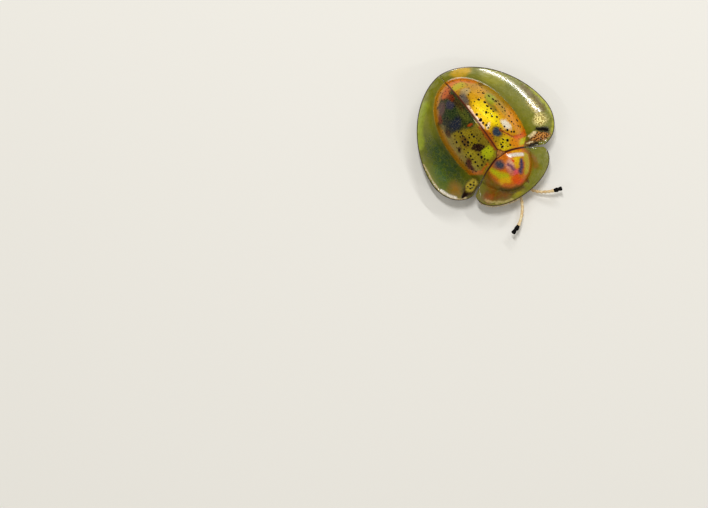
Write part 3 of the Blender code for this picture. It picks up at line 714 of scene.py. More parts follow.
relief = {
    # each hump or hollow as its place, its size, its height and its turn in degrees
    "case": [
        ((2.55, 1.0), (0.62, 0.8), 0.16, 10),     # shoulder
        ((0.95, 0.35), (0.5, 0.4), 0.05, 0),      # base
        ((1.97, 3.6), (0.3, 1.2), -0.05, 6),      # side of the dome
        ((3.85, -0.9), (0.5, 0.4), 0.10, 12),     # front corner
    ],
    "shield": [
        ((1.15, -1.7), (0.6, 0.6), 0.06, 0),
        ((-1.15, -1.7), (0.6, 0.6), 0.06, 0),
        ((0, -1.4), (0.2, 1.0), -0.05, 0),
    ],
    "creasePath": [(1.3, 1.6), (1.55, 1.0), (1.78, 0.55), (2.15, 0.2), (2.65, 0.08), (3.15, 0.15)],
    # each swell as its height, its distance from the line that it follows, and its width
    "crease": (-0.055, 0, 0.10),
    "furrow": (-0.04, 1.04, 0.06),    # its distance is a share of the shield's gilded middle
    "caseDip": (-0.012, 0, 0.08),
    "caseBead": (0.02, 0.17, 0.08),
    "shieldDip": (-0.015, 0, 0.08),
    "rimBead": (0.03, 0.03, 0.045),
}


def humped(x, y, forms):
    # the back with humps and hollows on it
    z = backHeight(x, y)
    for at, size, height, turn in forms:
        c, s = math.cos(math.radians(turn)), math.sin(math.radians(turn))
        dx, dy = x - at[0], y - at[1]
        u, v = (dx * c + dy * s) / size[0], (-dx * s + dy * c) / size[1]
        z = z + height * np.exp(-(u * u + v * v))
    return z


def distanceTo(path, x, y):
    # plan distance from a line of points
    best = np.full(np.shape(x), 1e9)
    for start, end in zip(path, path[1:]):
        dx, dy = end[0] - start[0], end[1] - start[1]
        share = np.clip(((x - start[0]) * dx + (y - start[1]) * dy) / (dx * dx + dy * dy), 0, 1)
        best = np.minimum(best, np.hypot(x - start[0] - share * dx, y - start[1] - share * dy))
    return best


def caseHeight(x, y, rimGap, seamGap):
    # with its crease, the dip and bead along its seam and the bead round its rim
    z = humped(x, y, relief["case"]) + swell(distanceTo(relief["creasePath"], x, y), *relief["crease"])
    z = z + swell(seamGap, *relief["caseDip"]) + swell(seamGap, *relief["caseBead"])
    return z + swell(rimGap, *relief["rimBead"])


def shieldHeight(x, y, rimGap, seamGap):
    # with a furrow round its gilded middle, a dip along its seam and the bead round its rim
    z = humped(x, y, relief["shield"]) + swell(shieldShare(x, y), *relief["furrow"])
    return z + swell(seamGap, *relief["shieldDip"]) + swell(rimGap, *relief["rimBead"])


def caseShare(x, y):
    # as discShare, with the front corner of the gilded disc rounded off
    (cornerX, cornerY), (ahead, aside) = back["cornerAt"], back["cornerFacing"]
    return np.maximum(discShare(x, y), 1 + ((x - cornerX) * ahead + (y - cornerY) * aside) / 3)


def shieldShare(x, y):
    # 1 on the edge of the gilded middle of the neck shield
    (atX, atY), (wide, long) = back["shieldDiscAt"], back["shieldDiscSize"]
    return np.hypot((x - atX) / wide, (y - atY) / long)


def discDistanceFrom(centre, sines, cosines):
    # how far each ray from a centre runs before it leaves the disc
    best = np.full(sines.shape, 1e9)
    a = back["discHalfWidth"]
    for b, ahead in ((back["discFront"], True), (back["discRear"], False)):
        px, py = centre[0] / a, (centre[1] - back["discY"]) / b
        dx, dy = sines / a, -cosines / b
        qa, qb, qc = dx * dx + dy * dy, 2 * (px * dx + py * dy), px * px + py * py - 1
        t = (-qb + np.sqrt(np.maximum(qb * qb - 4 * qa * qc, 0))) / (2 * qa)
        y = centre[1] - cosines * t
        good = (y <= back["discY"]) if ahead else (y > back["discY"])
        best = np.where(good, np.minimum(best, t), best)
    return best


def plateMesh(name, outline, centre, counts, closed, height, gilded, side, materials, seamAngles):
    # a fan of rings from a centre to an outline, finest where the dome is
    columns, discRings, skirtRings = (int(count * fine) for count in counts)
    angles, distances = polarOf(outline, centre)
    turns = circle(columns, -math.pi) if closed else np.linspace(angles[0], angles[-1], columns)
    reach = np.interp(np.abs(turns) if closed else turns, angles, distances)
    sines, cosines = np.sin(turns), np.cos(turns)
    discReach = np.minimum(discDistanceFrom(centre, sines, cosines), 0.95 * reach)
    inner = np.linspace(0, 1, discRings + 1)[:, None] * discReach
    outer = discReach + (reach - discReach) * np.linspace(0, 1, skirtRings + 1)[1:, None] ** 0.9
    radius = np.vstack([inner, outer])
    x = centre[0] + radius * sines
    y = centre[1] - radius * cosines
    edgeGap = reach - radius
    onSeam = (np.abs(turns) < seamAngles[0]) | (np.abs(turns) > seamAngles[1])
    farOff = 9.0
    seamGap = np.where(onSeam, edgeGap, farOff)
    rimGap = np.where(onSeam, farOff, edgeGap)
    if not closed:
        seamGap = np.minimum(seamGap, x - back["seam"])
    z = height(x, y, rimGap, seamGap)
    share = gilded(x if closed else np.abs(x), y)
    rings = discRings + skirtRings + 1
    keep = np.arange(rings * columns).reshape(rings, columns)
    keep[0] = 0  # the centre is one point
    faces = []
    for ring in range(rings - 1):
        for column in range(columns if closed else columns - 1):
            after = (column + 1) % columns
            quad = [keep[ring, column], keep[ring, after], keep[ring + 1, after], keep[ring + 1, column]]
            if ring == 0:
                quad = quad[1:]
            faces.append(quad[::side])
    mesh = meshFrom(name, np.stack([side * x, y, z], -1).reshape(-1, 3), faces, materials)
    for label, values in (("discShare", share), ("seamGap", seamGap), ("rimGap", rimGap)):
        addAttribute(mesh, label, values.ravel())
    work = bmesh.new()
    work.from_mesh(mesh)
    bmesh.ops.delete(work, geom=[v for v in work.verts if not v.link_faces], context="VERTS")
    if sum(f.normal.z for f in work.faces) < 0:
        bmesh.ops.reverse_faces(work, faces=work.faces)
    work.to_mesh(mesh)
    work.free()
    mesh.shade_smooth()
    return newObject(name, mesh)


def giveWall(made):
    # the plate's inner side, in the next slot's material
    wall = made.modifiers.new("wall", "SOLIDIFY")
    wall.thickness = back["wall"] * mm
    wall.offset = -1
    wall.material_offset = 1
    wall.material_offset_rim = 0
    plainMesh(made).data.shade_smooth()


# Pits, worked out on the plate by nodes: fine ones in rows, and large ones where they are listed

pits = {
    "rows": 9,
    "perRow": 26,
    "radius": 0.045,
    "depth": 0.045,
    "jitter": 0.10,
    "missing": 0.42,
    "frontY": -0.2,
    "rearY": 7.9,
    # each large one as (x, y, radius)
    "left": [
        (2.05, 5.2, 0.10), (2.32, 4.68, 0.10), (2.45, 4.22, 0.11), (2.56, 3.93, 0.11), (2.66, 3.52, 0.11),
        (2.70, 3.15, 0.09), (2.70, 2.72, 0.08), (2.70, 2.12, 0.09), (1.32, 4.86, 0.11), (1.63, 4.34, 0.12),
        (1.60, 3.92, 0.12), (1.72, 3.52, 0.10), (1.72, 3.18, 0.09), (1.15, 3.45, 0.12), (1.36, 2.88, 0.09),
        (1.70, 2.58, 0.10), (0.33, 3.78, 0.11), (0.30, 3.20, 0.16), (0.33, 2.80, 0.10), (0.45, 2.48, 0.10),
        (0.45, 2.18, 0.07), (3.15, 1.45, 0.13), (2.58, 1.55, 0.08), (2.62, 1.28, 0.06), (1.75, 1.50, 0.08),
        (1.78, 1.10, 0.11), (2.02, 0.80, 0.08), (2.22, 0.68, 0.10), (2.90, 0.95, 0.09), (3.02, 0.80, 0.08),
        (0.52, 0.12, 0.12), (0.55, 0.36, 0.08), (0.78, 0.42, 0.07), (0.96, 0.62, 0.07), (1.22, -0.12, 0.08),
        (1.25, 0.35, 0.12), (3.05, 2.3, 0.06), (2.3, 5.75, 0.06), (1.7, 5.5, 0.06),
    ],
    "right": [
        (-2.20, 0.12, 0.09), (-2.20, 0.50, 0.09), (-2.25, 0.82, 0.07), (-2.25, 1.16, 0.09), (-2.25, 1.55, 0.07),
        (-1.52, 0.50, 0.11), (-1.62, 0.86, 0.09), (-1.38, 0.20, 0.07), (-1.88, -0.05, 0.08), (-1.20, -0.05, 0.06),
        (-1.62, 0.08, 0.06), (-2.62, 1.40, 0.07), (-2.72, 2.28, 0.11), (-2.52, 2.95, 0.10), (-1.76, 2.98, 0.12),
        (-1.80, 2.62, 0.09), (-1.74, 2.25, 0.11), (-1.90, 2.05, 0.08), (-2.10, 2.30, 0.11), (-2.08, 2.62, 0.08),
        (-1.74, 3.30, 0.09), (-1.86, 3.55, 0.07), (-1.42, 2.50, 0.08), (-1.05, 2.32, 0.09), (-1.08, 2.58, 0.09),
        (-1.50, 2.00, 0.07), (-0.90, 1.75, 0.06), (-1.40, 1.75, 0.07), (-2.35, 2.0, 0.06), (-2.0, 3.1, 0.07),
        (-2.3, 3.5, 0.06), (-2.9, 0.95, 0.08), (-2.8, 0.25, 0.07), (-2.6, -0.1, 0.06), (-0.75, 2.25, 0.05),
        (-3.85, -1.0, 0.07), (-3.62, -0.72, 0.08), (-3.42, -0.92, 0.07), (-3.95, -0.72, 0.06), (-3.66, -1.02, 0.06),
        (-3.25, -0.72, 0.06), (-1.1, 4.5, 0.05), (-1.9, 5.2, 0.05), (-0.8, 5.6, 0.05),
    ],
}


class GeometryGraph(Graph):
    # a geometry tree with named inputs beside the geometry itself
    def __init__(self, name, inputs):
        super().__init__(bpy.data.node_groups.new(name, "GeometryNodeTree"))
        for label, way, kind in [("Geometry", "INPUT", "Geometry"),
                                 *((label, "INPUT", kind) for label, kind in inputs.items()),
                                 ("Geometry", "OUTPUT", "Geometry")]:
            self.tree.interface.new_socket(label, in_out=way, socket_type="NodeSocket" + kind)
        self.source = self.add("NodeGroupInput")

    def given(self, name="Geometry"):
        return self.source.out(name)

    def geo(self, kind, values=None, out=0, **settings):
        return self.add("GeometryNode" + kind, values, out, **settings)

    def triple(self, x, y, z):
        return self.add("ShaderNodeCombineXYZ", [x, y, z])

    def random(self, low, high, seed):
        # a draw for every point: a vector between two vectors, or a number between two numbers
        if isinstance(low, tuple):
            return self.add("FunctionNodeRandomValue", {0: low, 1: high, "Seed": seed}, data_type="FLOAT_VECTOR")
        return self.add("FunctionNodeRandomValue", {2: low, 3: high, "Seed": seed}, 1, data_type="FLOAT")

    def store(self, geometry, name, value, domain="POINT"):
        return self.geo("StoreNamedAttribute", {"Geometry": geometry, "Name": name, "Value": value},
                        data_type="FLOAT", domain=domain)

    def named(self, name):
        return self.geo("InputNamedAttribute", {"Name": name}, data_type="FLOAT")

    def join(self, *parts):
        both = self.geo("JoinGeometry")
        for part in parts:
            self.tree.links.new(part.socket, both.socket.node.inputs[0])
        return both

    def coloured(self, geometry, finish="Finish", chosen=None):
        values = {"Geometry": geometry, "Material": self.given(finish)}
        return self.geo("SetMaterial", {**values, "Selection": chosen} if chosen else values)

    def copies(self, points, shape, size, turn=(0, 0, 0)):
        # real copies of a shape on points
        placed = self.geo("InstanceOnPoints", {
            "Points": points, "Instance": shape, "Scale": size, "Rotation": turn})
        return self.geo("RealizeInstances", [placed])

    def hairs(self, roots, heading, longer, sides, tip):
        # a thin cone on every root, pointing along its heading
        cone = self.geo("MeshCone", {"Vertices": sides, "Side Segments": 1, "Radius Top": tip,
                                     "Radius Bottom": 1.0, "Depth": 1.0})
        size = self.triple(self.given("Thickness"), self.given("Thickness"), self.given("Length") * longer)
        turn = self.add("FunctionNodeAlignRotationToVector", {"Vector": heading}, axis="Z")
        return self.coloured(self.copies(roots, cone, size, turn))

    def close(self, wire):
        self.tree.links.new(wire.socket, self.tree.nodes.new("NodeGroupOutput").inputs[0])
        return self.tree


def pitTree():
    # shaken rows of fine pits inside the disc and the large ones, dropped onto the plate and sunk into it
    g = GeometryGraph("rowsOfPits", {
        "Large Pits": "Object", "Rows": "Int", "Per Row": "Int", "Radius": "Float", "Depth": "Float",
        "Jitter": "Float", "Missing": "Float", "Front": "Float", "Rear": "Float", "Side": "Float", "Seed": "Int"})
    given, seed, here = g.given, g.given("Seed"), g.geo("InputPosition")
    lattice = g.geo("MeshGrid", {
        "Size X": 1.0, "Size Y": 1.0, "Vertices X": given("Rows"), "Vertices Y": given("Per Row")})
    share = g.add("ShaderNodeSeparateXYZ", [here])
    shakeX, shakeY = (g.random(-1.0, 1.0, draw) * given("Jitter") for draw in (seed, seed + 7))
    y = given("Front") + (share.out("Y") + 0.5) * (given("Rear") - given("Front")) + shakeY * 1.4
    middle = (back["discY"] + shiftY) * mm
    reach = (y > middle) * ((back["discRear"] - back["discFront"]) * mm) + back["discFront"] * mm
    offset = (y - middle) / reach
    half = (1 - offset * offset).most(0.0).math("SQRT") * (back["discHalfWidth"] * mm)
    x = (half * (0.08 + 0.84 * (share.out("X") + 0.5)) + shakeX * 0.55) * given("Side")
    spread = g.geo("SetPosition", {"Geometry": lattice, "Position": g.triple(x, y, 0.02)})
    lost = g.random(0.0, 1.0, seed + 3) < given("Missing")
    fewer = g.geo("DeleteGeometry", {"Geometry": spread, "Selection": lost}, domain="POINT")
    sized = g.store(fewer, "radius", given("Radius") * g.random(0.6, 1.25, seed + 5))
    large = g.geo("ObjectInfo", {"Object": given("Large Pits")}, "Geometry")
    drop = g.geo("Raycast", {"Target Geometry": given(), "Source Position": here, "Ray Direction": (0, 0, -1),
                             "Ray Length": 0.05})
    landed = g.geo("SetPosition", {"Geometry": g.join(sized, large), "Position": drop.out("Hit Position")})
    near = g.geo("Proximity", {"Geometry": landed, "Sample Position": here}, "Distance", target_element="POINTS")
    index = g.geo("SampleNearest", {"Geometry": landed, "Sample Position": here}, domain="POINT")
    radius = g.geo("SampleIndex", {"Geometry": landed, "Index": index, "Value": g.named("radius")},
                   data_type="FLOAT", domain="POINT")
    pit = g.ease(near / radius, 1.15, 0.45)
    sink = g.scaled(g.geo("InputNormal"), radius / (0.1 * mm) * given("Depth") * pit * -1.0)
    sunk = g.geo("SetPosition", {"Geometry": g.store(given(), "pit", pit), "Offset": sink})
    return g.close(g.geo("RealizeInstances", {"Geometry": sunk}))


def largePits(label):
    # loose points over the plate, each with the radius of its pit
    mesh = bpy.data.meshes.new("pits" + label)
    mesh.from_pydata([(x * mm, (y + shiftY) * mm, 0.02) for x, y, radius in pits[label]], [], [])
    addAttribute(mesh, "radius", [1.15 * radius * mm for x, y, radius in pits[label]])
    return newObject(mesh.name, mesh)


def useTree(made, tree, values):
    # a geometry modifier with its inputs set by the sockets' identifiers
    modifier = made.modifiers.new(tree.name, "NODES")
    modifier.node_group = tree
    names = {item.name: item.identifier for item in tree.interface.items_tree if item.in_out == "INPUT"}
    for name, value in values.items():
        modifier[names[name]] = value
    return plainMesh(made)


print("wing cases and neck shield")
pitRows = pitTree()
fine = 1.0   # of the plates' rings and columns
shoulderTurn = math.atan2(back["shoulderX"], back["discY"] - back["shoulderY"])
for side, label, finishes, slotName, seed in (
    (1, "left", goldFinishes, "gold_wing_case", 11),
    (-1, "right", greenFinishes, "green_wing_case", 4),
):
    case = plateMesh("wingCase" + label.capitalize(), wingRim, (back["seam"], back["discY"]), (270, 108, 32), False,
                     caseHeight, caseShare, side, finishes, (shoulderTurn, 9.0))
    large = largePits(label)
    useTree(case, pitRows, {
        "Large Pits": large, "Rows": pits["rows"], "Per Row": pits["perRow"], "Radius": pits["radius"] * mm,
        "Depth": pits["depth"] * mm, "Jitter": pits["jitter"] * mm, "Missing": pits["missing"],
        "Front": (pits["frontY"] + shiftY) * mm, "Rear": (pits["rearY"] + shiftY) * mm, "Side": float(side),
        "Seed": seed})
    bpy.data.objects.remove(large, do_unlink=True)
    giveWall(case)
    settle(case, slotName, "elytron_" + label)

fringe = {
    "hairs": 260,
    "length": 0.22,
    "thickness": 0.03,
    "lean": 0.55,
    "from": 12,         # points of the shield's outline
    "to": 93,
    "inset": 0.985,
    "behind": 0.04,
    "below": 0.03,
    "seed": 5,
}


def fringeTree():
    # short hairs standing out along a line, each leaning a little its own way
    g = GeometryGraph("rimFringe", {"Hairs": "Int", "Length": "Float", "Thickness": "Float", "Lean": "Float",
                                    "Seed": "Int", "Finish": "Material"})
    seed, lean = g.given("Seed"), g.given("Lean")
    line = g.geo("MeshToCurve", {"Mesh": g.given()})
    roots = g.geo("CurveToPoints", {"Curve": line, "Count": g.given("Hairs")}, mode="COUNT")
    outwards = g.vector("NORMALIZE", g.vector("MULTIPLY", g.geo("InputPosition"), (1, 1, 0)))
    uneven = g.random((-1.0, -1.0, -0.9), (1.0, 1.0, 0.3), seed)
    heading = g.vector("MULTIPLY_ADD", uneven, g.triple(lean, lean, lean), outwards)
    return g.close(g.hairs(roots, heading, g.random(0.5, 1.2, seed + 2), 4, 0.1))


def makeFringe():
    # along the front rim of the shield on the animal's right
    points = []
    for x, y in shieldRim[fringe["from"]:fringe["to"]]:
        x, y = -fringe["inset"] * x, y + fringe["behind"]
        points.append((x * mm, (y + shiftY) * mm, (float(backHeight(x, y)) - fringe["below"]) * mm))
    mesh = bpy.data.meshes.new("fringe")
    mesh.from_pydata(points, [(i, i + 1) for i in range(len(points) - 1)], [])
    return useTree(newObject("fringe", mesh), fringeTree(), {
        "Hairs": fringe["hairs"], "Length": fringe["length"] * mm, "Thickness": fringe["thickness"] * mm / 2,
        "Lean": fringe["lean"], "Seed": fringe["seed"], "Finish": bristleFinish})


shieldMiddle = (0.0, -2.1)
cornerTurn = math.atan2(back["shieldHalfWidth"], shieldMiddle[1] - back["shieldWidestY"])
shield = plateMesh("neckShield", shieldRim, shieldMiddle, (320, 76, 30), True, shieldHeight, shieldShare, 1,
                   amberFinishes, (-1.0, cornerTurn))
addAttribute(shield.data, "pit", np.zeros(len(shield.data.vertices)))
giveWall(shield)
shield = joined("neckShield", [shield, makeFringe()])
settle(shield, "amber_shield", "pronotum")


# Trunk and scutellum

trunk = {
    "frontY": -2.35,
    "middleY": 2.6,
    "rearY": 7.75,
    "halfWidth": 3.15,
    "squareness": 2.3,      # 2 would make its plan an ellipse
    "bellyZ": 1.28,
    "edgeZ": 1.95,
    "bellyPower": 3.2,
    "gap": 0.015,           # under the inner side of the plates
    "keel": (-0.10, 0, 0.5),
    "keelRun": (1, 1.2, 2.2),
    "groove": (0.05, 0, 0.06),
    "grooveY": (0.95, 3.0),
    "seam": (0.07, 0, 0.055),
    "seams": [-0.35, 0.95, 3.05, 4.25, 5.05, 5.75, 6.45],   # where one plate of the underside meets the next
    "sweep": 0.035,                                        # how far the seams curve forward at the sides
}
scutellum = {
    "middleY": -0.20,
    "corners": [(0.0, 0.17), (0.22, -0.06), (0.43, -0.31), (0.40, -0.375), (0.2, -0.39), (0.0, -0.395)],
    "height": 0.04,         # over the back, at its middle
    "fall": 0.08,           # from the middle to the edge
    "depth": 0.16,
}


def makeTrunk():
    # a lens between the inner side of the back and the belly, as a fan of rings on each side
    turns = circle(168)
    reachY = np.where(np.cos(turns) > 0, trunk["rearY"] - trunk["middleY"], trunk["middleY"] - trunk["frontY"])
    power = 2 / trunk["squareness"]
    outX = trunk["halfWidth"] * np.sign(np.sin(turns)) * np.abs(np.sin(turns)) ** power
    outY = reachY * np.sign(np.cos(turns)) * np.abs(np.cos(turns)) ** power
    points = []
    for upper, shares in ((False, np.linspace(0, 1, 72)), (True, np.linspace(1, 0, 24))):
        for share in shares:
            x, y = outX * share, trunk["middleY"] + outY * share
            z = top = backHeight(x, y) - back["wall"] - trunk["gap"]
            if not upper:
                z = trunk["bellyZ"] + (trunk["edgeZ"] - trunk["bellyZ"]) * share ** trunk["bellyPower"]
                z = z + swell(x, *trunk["keel"]) * swell(y, *trunk["keelRun"])
                first, last = trunk["grooveY"]
                z = z + swell(x, *trunk["groove"]) * (y < last) * (y > first)
                for seam in trunk["seams"]:
                    run = y - (seam - trunk["sweep"] * x * x)
                    z = z + swell(run, *trunk["seam"]) * min(1, share * 4)
                z = np.minimum(z, top - 0.02)
            points.append(np.stack([x, y, z], -1))
    return solid("trunk", np.vstack(points), ringFaces(len(points), len(turns)), bellyFinish)


def makeScutellum():
    # the small raised triangle between the wing cases and the neck shield
    middleY = scutellum["middleY"]
    corners = np.array(scutellum["corners"])
    edge = np.vstack([corners, corners[4:0:-1] * (-1, 1)])
    angles = np.arctan2(edge[:, 0], edge[:, 1] - middleY)
    order = np.argsort(angles)
    angles, edge = angles[order], edge[order]
    wide = np.concatenate([angles - 2 * math.pi, angles, angles + 2 * math.pi])
    turns = circle(96, -math.pi)
    edgeX, edgeY = (np.interp(turns, wide, np.tile(edge[:, axis], 3)) for axis in (0, 1))
    points = []
    for upper, shares in ((True, np.linspace(0, 1, 24)), (False, np.linspace(1, 0, 8))):
        for share in shares:
            x, y = edgeX * share, middleY + (edgeY - middleY) * share
            rise = scutellum["height"] - scutellum["fall"] * share ** 4 if upper else -scutellum["depth"]
            points.append(np.stack([x, y, backHeight(x, y) + rise], -1))
    return solid("scutellum", np.vstack(points), ringFaces(len(points), len(turns)), scutellumFinish)


print("trunk and scutellum")
scutellumFinish = makeHornFinish("scutellumHorn", (206, 140, 50), (130, 66, 20), 5.0, 0.25, 22.0, 0.01)
settle(makeTrunk(), "dark_belly", "prothorax", "thorax", "abdomen")
settle(makeScutellum(), "brown_plate", "scutellum")


# Head, eyes and mouthparts

def roundBody(name, centre, radii, material, columns, rings, shape=None):
    # an ellipsoid whose unit points may be reshaped before they are placed
    turns = circle(columns)
    tilts = np.linspace(-math.pi / 2, math.pi / 2, rings)
    grid = np.stack([np.outer(np.cos(tilts), np.cos(turns)), np.outer(np.cos(tilts), np.sin(turns)),
                     np.outer(np.sin(tilts), np.ones(columns))], -1).reshape(-1, 3)
    if shape:
        grid = shape(grid)
    return solid(name, np.array(centre) + grid * np.array(radii), ringFaces(rings, columns), material)


def smoothRoute(points, steps):
    # a Catmull-Rom curve through given points
    given = [np.array(p, float) for p in points]
    ends = [2 * given[0] - given[1], *given, 2 * given[-1] - given[-2]]
    route = []
    for place in np.linspace(0, len(given) - 1, steps):
        i = min(int(place), len(given) - 2)
        t = place - i
        a, b, c, d = ends[i:i + 4]
        route.append(0.5 * (2 * b + (c - a) * t + (2 * a - 5 * b + 4 * c - d) * t * t
                            + (3 * b - 3 * c + d - a) * t ** 3))
    return np.array(route)


def tube(name, points, steps, radii, material, around, flat=1.0):
    # a closed tapering tube along a smooth route; flat squeezes it up and down
    route = smoothRoute(points, steps)
    radii = np.interp(np.linspace(0, 1, len(route)), np.linspace(0, 1, len(radii)), radii)
    ahead = np.gradient(route, axis=0)
    ahead /= np.linalg.norm(ahead, axis=1)[:, None]
    guide = np.array((0.0, 0.0, 1.0)) if abs(ahead[0][2]) < 0.9 else np.array((1.0, 0.0, 0.0))
    across = np.cross(ahead, guide)
    across /= np.linalg.norm(across, axis=1)[:, None]
    upward = np.cross(across, ahead)
    turns = circle(around)
    last = len(route) - 1
    rounds = [(0, 0.02), (0, 0.6), *((i, 1.0) for i in range(last + 1)), (last, 0.6), (last, 0.02)]
    rings = []
    for number, (i, share) in enumerate(rounds):
        cap = radii[i] * 0.5 * (1 - share)
        centre = route[i] - ahead[i] * cap if number < 2 else route[i] + ahead[i] * cap
        sweep = np.outer(np.cos(turns), across[i]) + flat * np.outer(np.sin(turns), upward[i])
        rings.append(centre + radii[i] * share * sweep)
    faces = ringFaces(len(rings), around)
    for first in (0, (len(rings) - 1) * around):
        faces.append(tuple(range(first, first + around)))
    return solid(name, np.vstack(rings), faces, material)


head = {
    "centre": (0.0, -2.68, 1.02),
    "radii": (0.82, 0.56, 0.60),
    "eyeCentre": (0.80, -2.70, 1.02),
    "eyeRadii": (0.27, 0.36, 0.44),
    "facet": 0.020,
    "sink": 0.010,          # how deep the middles of the facets stand in the eye
    "flatness": 0.18,       # of the face
    "brow": (0.10, 0, 0.10),
    "jaw": [(0.30, -2.95, 0.62), (0.24, -3.12, 0.55), (0.05, -3.16, 0.50)],
    "palp": [(0.36, -2.86, 0.62), (0.46, -3.00, 0.44), (0.42, -3.14, 0.34)],
}


def skullShape(grid):
    # flatter in front, with a groove down the brow
    x, y, z = grid.T
    y = np.where(y < 0, y * (1 - head["flatness"] * (1 - np.abs(z))), y)
    y = y + swell(x, *head["brow"]) * (y < 0) * (z > -0.2)
    return np.stack([x, y, z], -1)


def facetTree():
    # a dense cover of small lenses, one on each point of a ball
    g = GeometryGraph("eyeFacets", {"Facet": "Float", "Sink": "Float", "Finish": "Material"})
    facet = g.given("Facet")
    inward = g.scaled(g.geo("InputNormal"), g.given("Sink") * -1)
    sunk = g.geo("SetPosition", {"Geometry": g.given(), "Offset": inward})
    lens = g.geo("MeshIcoSphere", {"Radius": 1.0, "Subdivisions": 1})
    lenses = g.copies(g.geo("MeshToPoints", {"Mesh": sunk}), lens, g.triple(facet, facet, facet))
    smooth = g.geo("SetShadeSmooth", {"Geometry": lenses})
    return g.close(g.coloured(g.join(smooth, g.given())))


def makeEye(side, tree):
    work = bmesh.new()
    bmesh.ops.create_icosphere(work, subdivisions=5, radius=1)
    points = np.array([v.co for v in work.verts]) * np.array(head["eyeRadii"])
    faces = [[v.index for v in f.verts] for f in work.faces]
    work.free()
    name = "eyeLeft" if side > 0 else "eyeRight"
    ball = meshFrom(name, points + np.array(head["eyeCentre"]) * (side, 1, 1), faces, (eyeFinish,))
    return useTree(newObject(name, ball), tree, {
        "Facet": head["facet"] * mm, "Sink": head["sink"] * mm, "Finish": eyeFinish})


def makeHead():
    parts = [
        roundBody("skull", head["centre"], head["radii"], headFinish, 72, 44, skullShape),
        roundBody("neck", (0, -2.25, 1.15), (0.55, 0.5, 0.42), headFinish, 32, 16),
        roundBody("clypeus", (0, -3.10, 0.88), (0.30, 0.16, 0.20), headFinish, 32, 16),
        roundBody("lip", (0, -3.12, 0.68), (0.22, 0.12, 0.09), limbFinish, 24, 12),
    ]
    for side in (1, -1):
        jaw, palp = ([(side * x, y, z) for x, y, z in head[part]] for part in ("jaw", "palp"))
        parts += [
            tube("jaw", jaw, 8, (0.10, 0.08, 0.03), tipFinish, 12),
            tube("palp", palp, 9, (0.045, 0.06, 0.04, 0.065, 0.05, 0.02), limbFinish, 10),
            roundBody("feelerRing", (side * 0.27, -3.14, 1.00), (0.16, 0.12, 0.16), headFinish, 20, 12),
        ]
    return joined("head", parts)


print("head")
facets = facetTree()
settle(makeHead(), "brown_plate", "head")
for side, label in ((1, "left"), (-1, "right")):
    settle(makeEye(side, facets), "black_eye", "eye_" + label)


# Feelers: joints set along a curve by nodes

feelers = {
    "joints": 11,
    "width": 0.145,
    "clubWidth": 0.23,
    "clubFrom": 9,
    "blackFrom": 9,
    "left": [(0.27, -3.20, 0.98), (0.44, -3.60, 0.84), (0.64, -4.10, 0.66), (1.02, -4.64, 0.60),
             (1.60, -5.14, 0.74), (2.24, -5.50, 0.94), (2.94, -5.77, 1.06)],
    "right": [(-0.27, -3.20, 0.98), (-0.34, -3.64, 0.84), (-0.50, -4.22, 0.66), (-0.82, -4.86, 0.60),
              (-1.36, -5.54, 0.74), (-2.14, -6.16, 0.94), (-3.02, -6.49, 1.06)],
    # outline of one joint of unit length and width, as radius and height: narrow at its foot, swelling to its end
    "profile": [(0.05, -0.12), (0.52, -0.08), (0.66, 0.02), (0.78, 0.2), (0.90, 0.45), (0.99, 0.7), (1.0, 0.84),
                (0.90, 0.95), (0.62, 1.02), (0.05, 1.04)],
}


def feelerTree():
    # the joint repeated along a curve, wider in the club and black at the tip
    g = GeometryGraph("feelerJoints", {
        "Joint": "Object", "Joints": "Int", "Width": "Float", "Club Width": "Float", "Club From": "Int",
        "Black From": "Int", "Straw": "Material", "Black": "Material"})
    given, joints, index = g.given, g.given("Joints"), g.geo("InputIndex")
    even = g.geo("ResampleCurve", {"Curve": given(), "Count": joints + 1})
    roots = g.geo("CurveToPoints", {"Curve": even}, mode="EVALUATED")
    spare = g.geo("DeleteGeometry", {"Geometry": roots, "Selection": index > (joints - 0.5)}, domain="POINT")
    length = g.geo("CurveLength", {"Curve": given()}) / joints * 1.12
    club = g.ease(index, given("Club From") - 1.5, given("Club From") + 0.5)
    first, last = index.math("COMPARE", 0.0, 0.1), index.math("COMPARE", joints - 1, 0.1)
    wide = given("Width") + (given("Club Width") - given("Width")) * club
    wide = wide * (1 - 0.12 * last) * (1 + 0.25 * first)
    copies = g.geo("InstanceOnPoints", {
        "Points": spare, "Instance": g.geo("ObjectInfo", {"Object": given("Joint")}, "Geometry"),
        "Rotation": roots.out("Rotation"), "Scale": g.triple(wide, wide, length)})
    plain = g.geo("RealizeInstances", [g.store(copies, "jointNumber", index, "INSTANCE")])
    black = g.named("jointNumber") > (given("Black From") - 0.5)
    return g.close(g.coloured(g.coloured(plain, "Straw"), "Black", black))


def makeJoint():
    around = 18
    points = [(radius * math.cos(turn), radius * math.sin(turn), z)
              for radius, z in feelers["profile"] for turn in circle(around)]
    mesh = bpy.data.meshes.new("feelerJoint")
    mesh.from_pydata(points, [], ringFaces(len(feelers["profile"]), around))
    mesh.materials.append(feelerFinish)
    mesh.shade_smooth()
    return newObject("feelerJoint", mesh)


def makeFeeler(label, joint, tree):
    curve = bpy.data.curves.new("feeler" + label.capitalize(), "CURVE")
    curve.dimensions = "3D"
    route = smoothRoute(feelers[label], 60)
    spline = curve.splines.new("POLY")
    spline.points.add(len(route) - 1)
    for point, place in zip(spline.points, route):
        point.co = (*((place + (0, shiftY, 0)) * mm), 1)
    made = useTree(newObject(curve.name, curve), tree, {
        "Joint": joint, "Joints": feelers["joints"], "Width": feelers["width"] * mm,
        "Club Width": feelers["clubWidth"] * mm, "Club From": feelers["clubFrom"],
        "Black From": feelers["blackFrom"], "Straw": feelerFinish, "Black": tipFinish})
    made.data.shade_smooth()
    return made


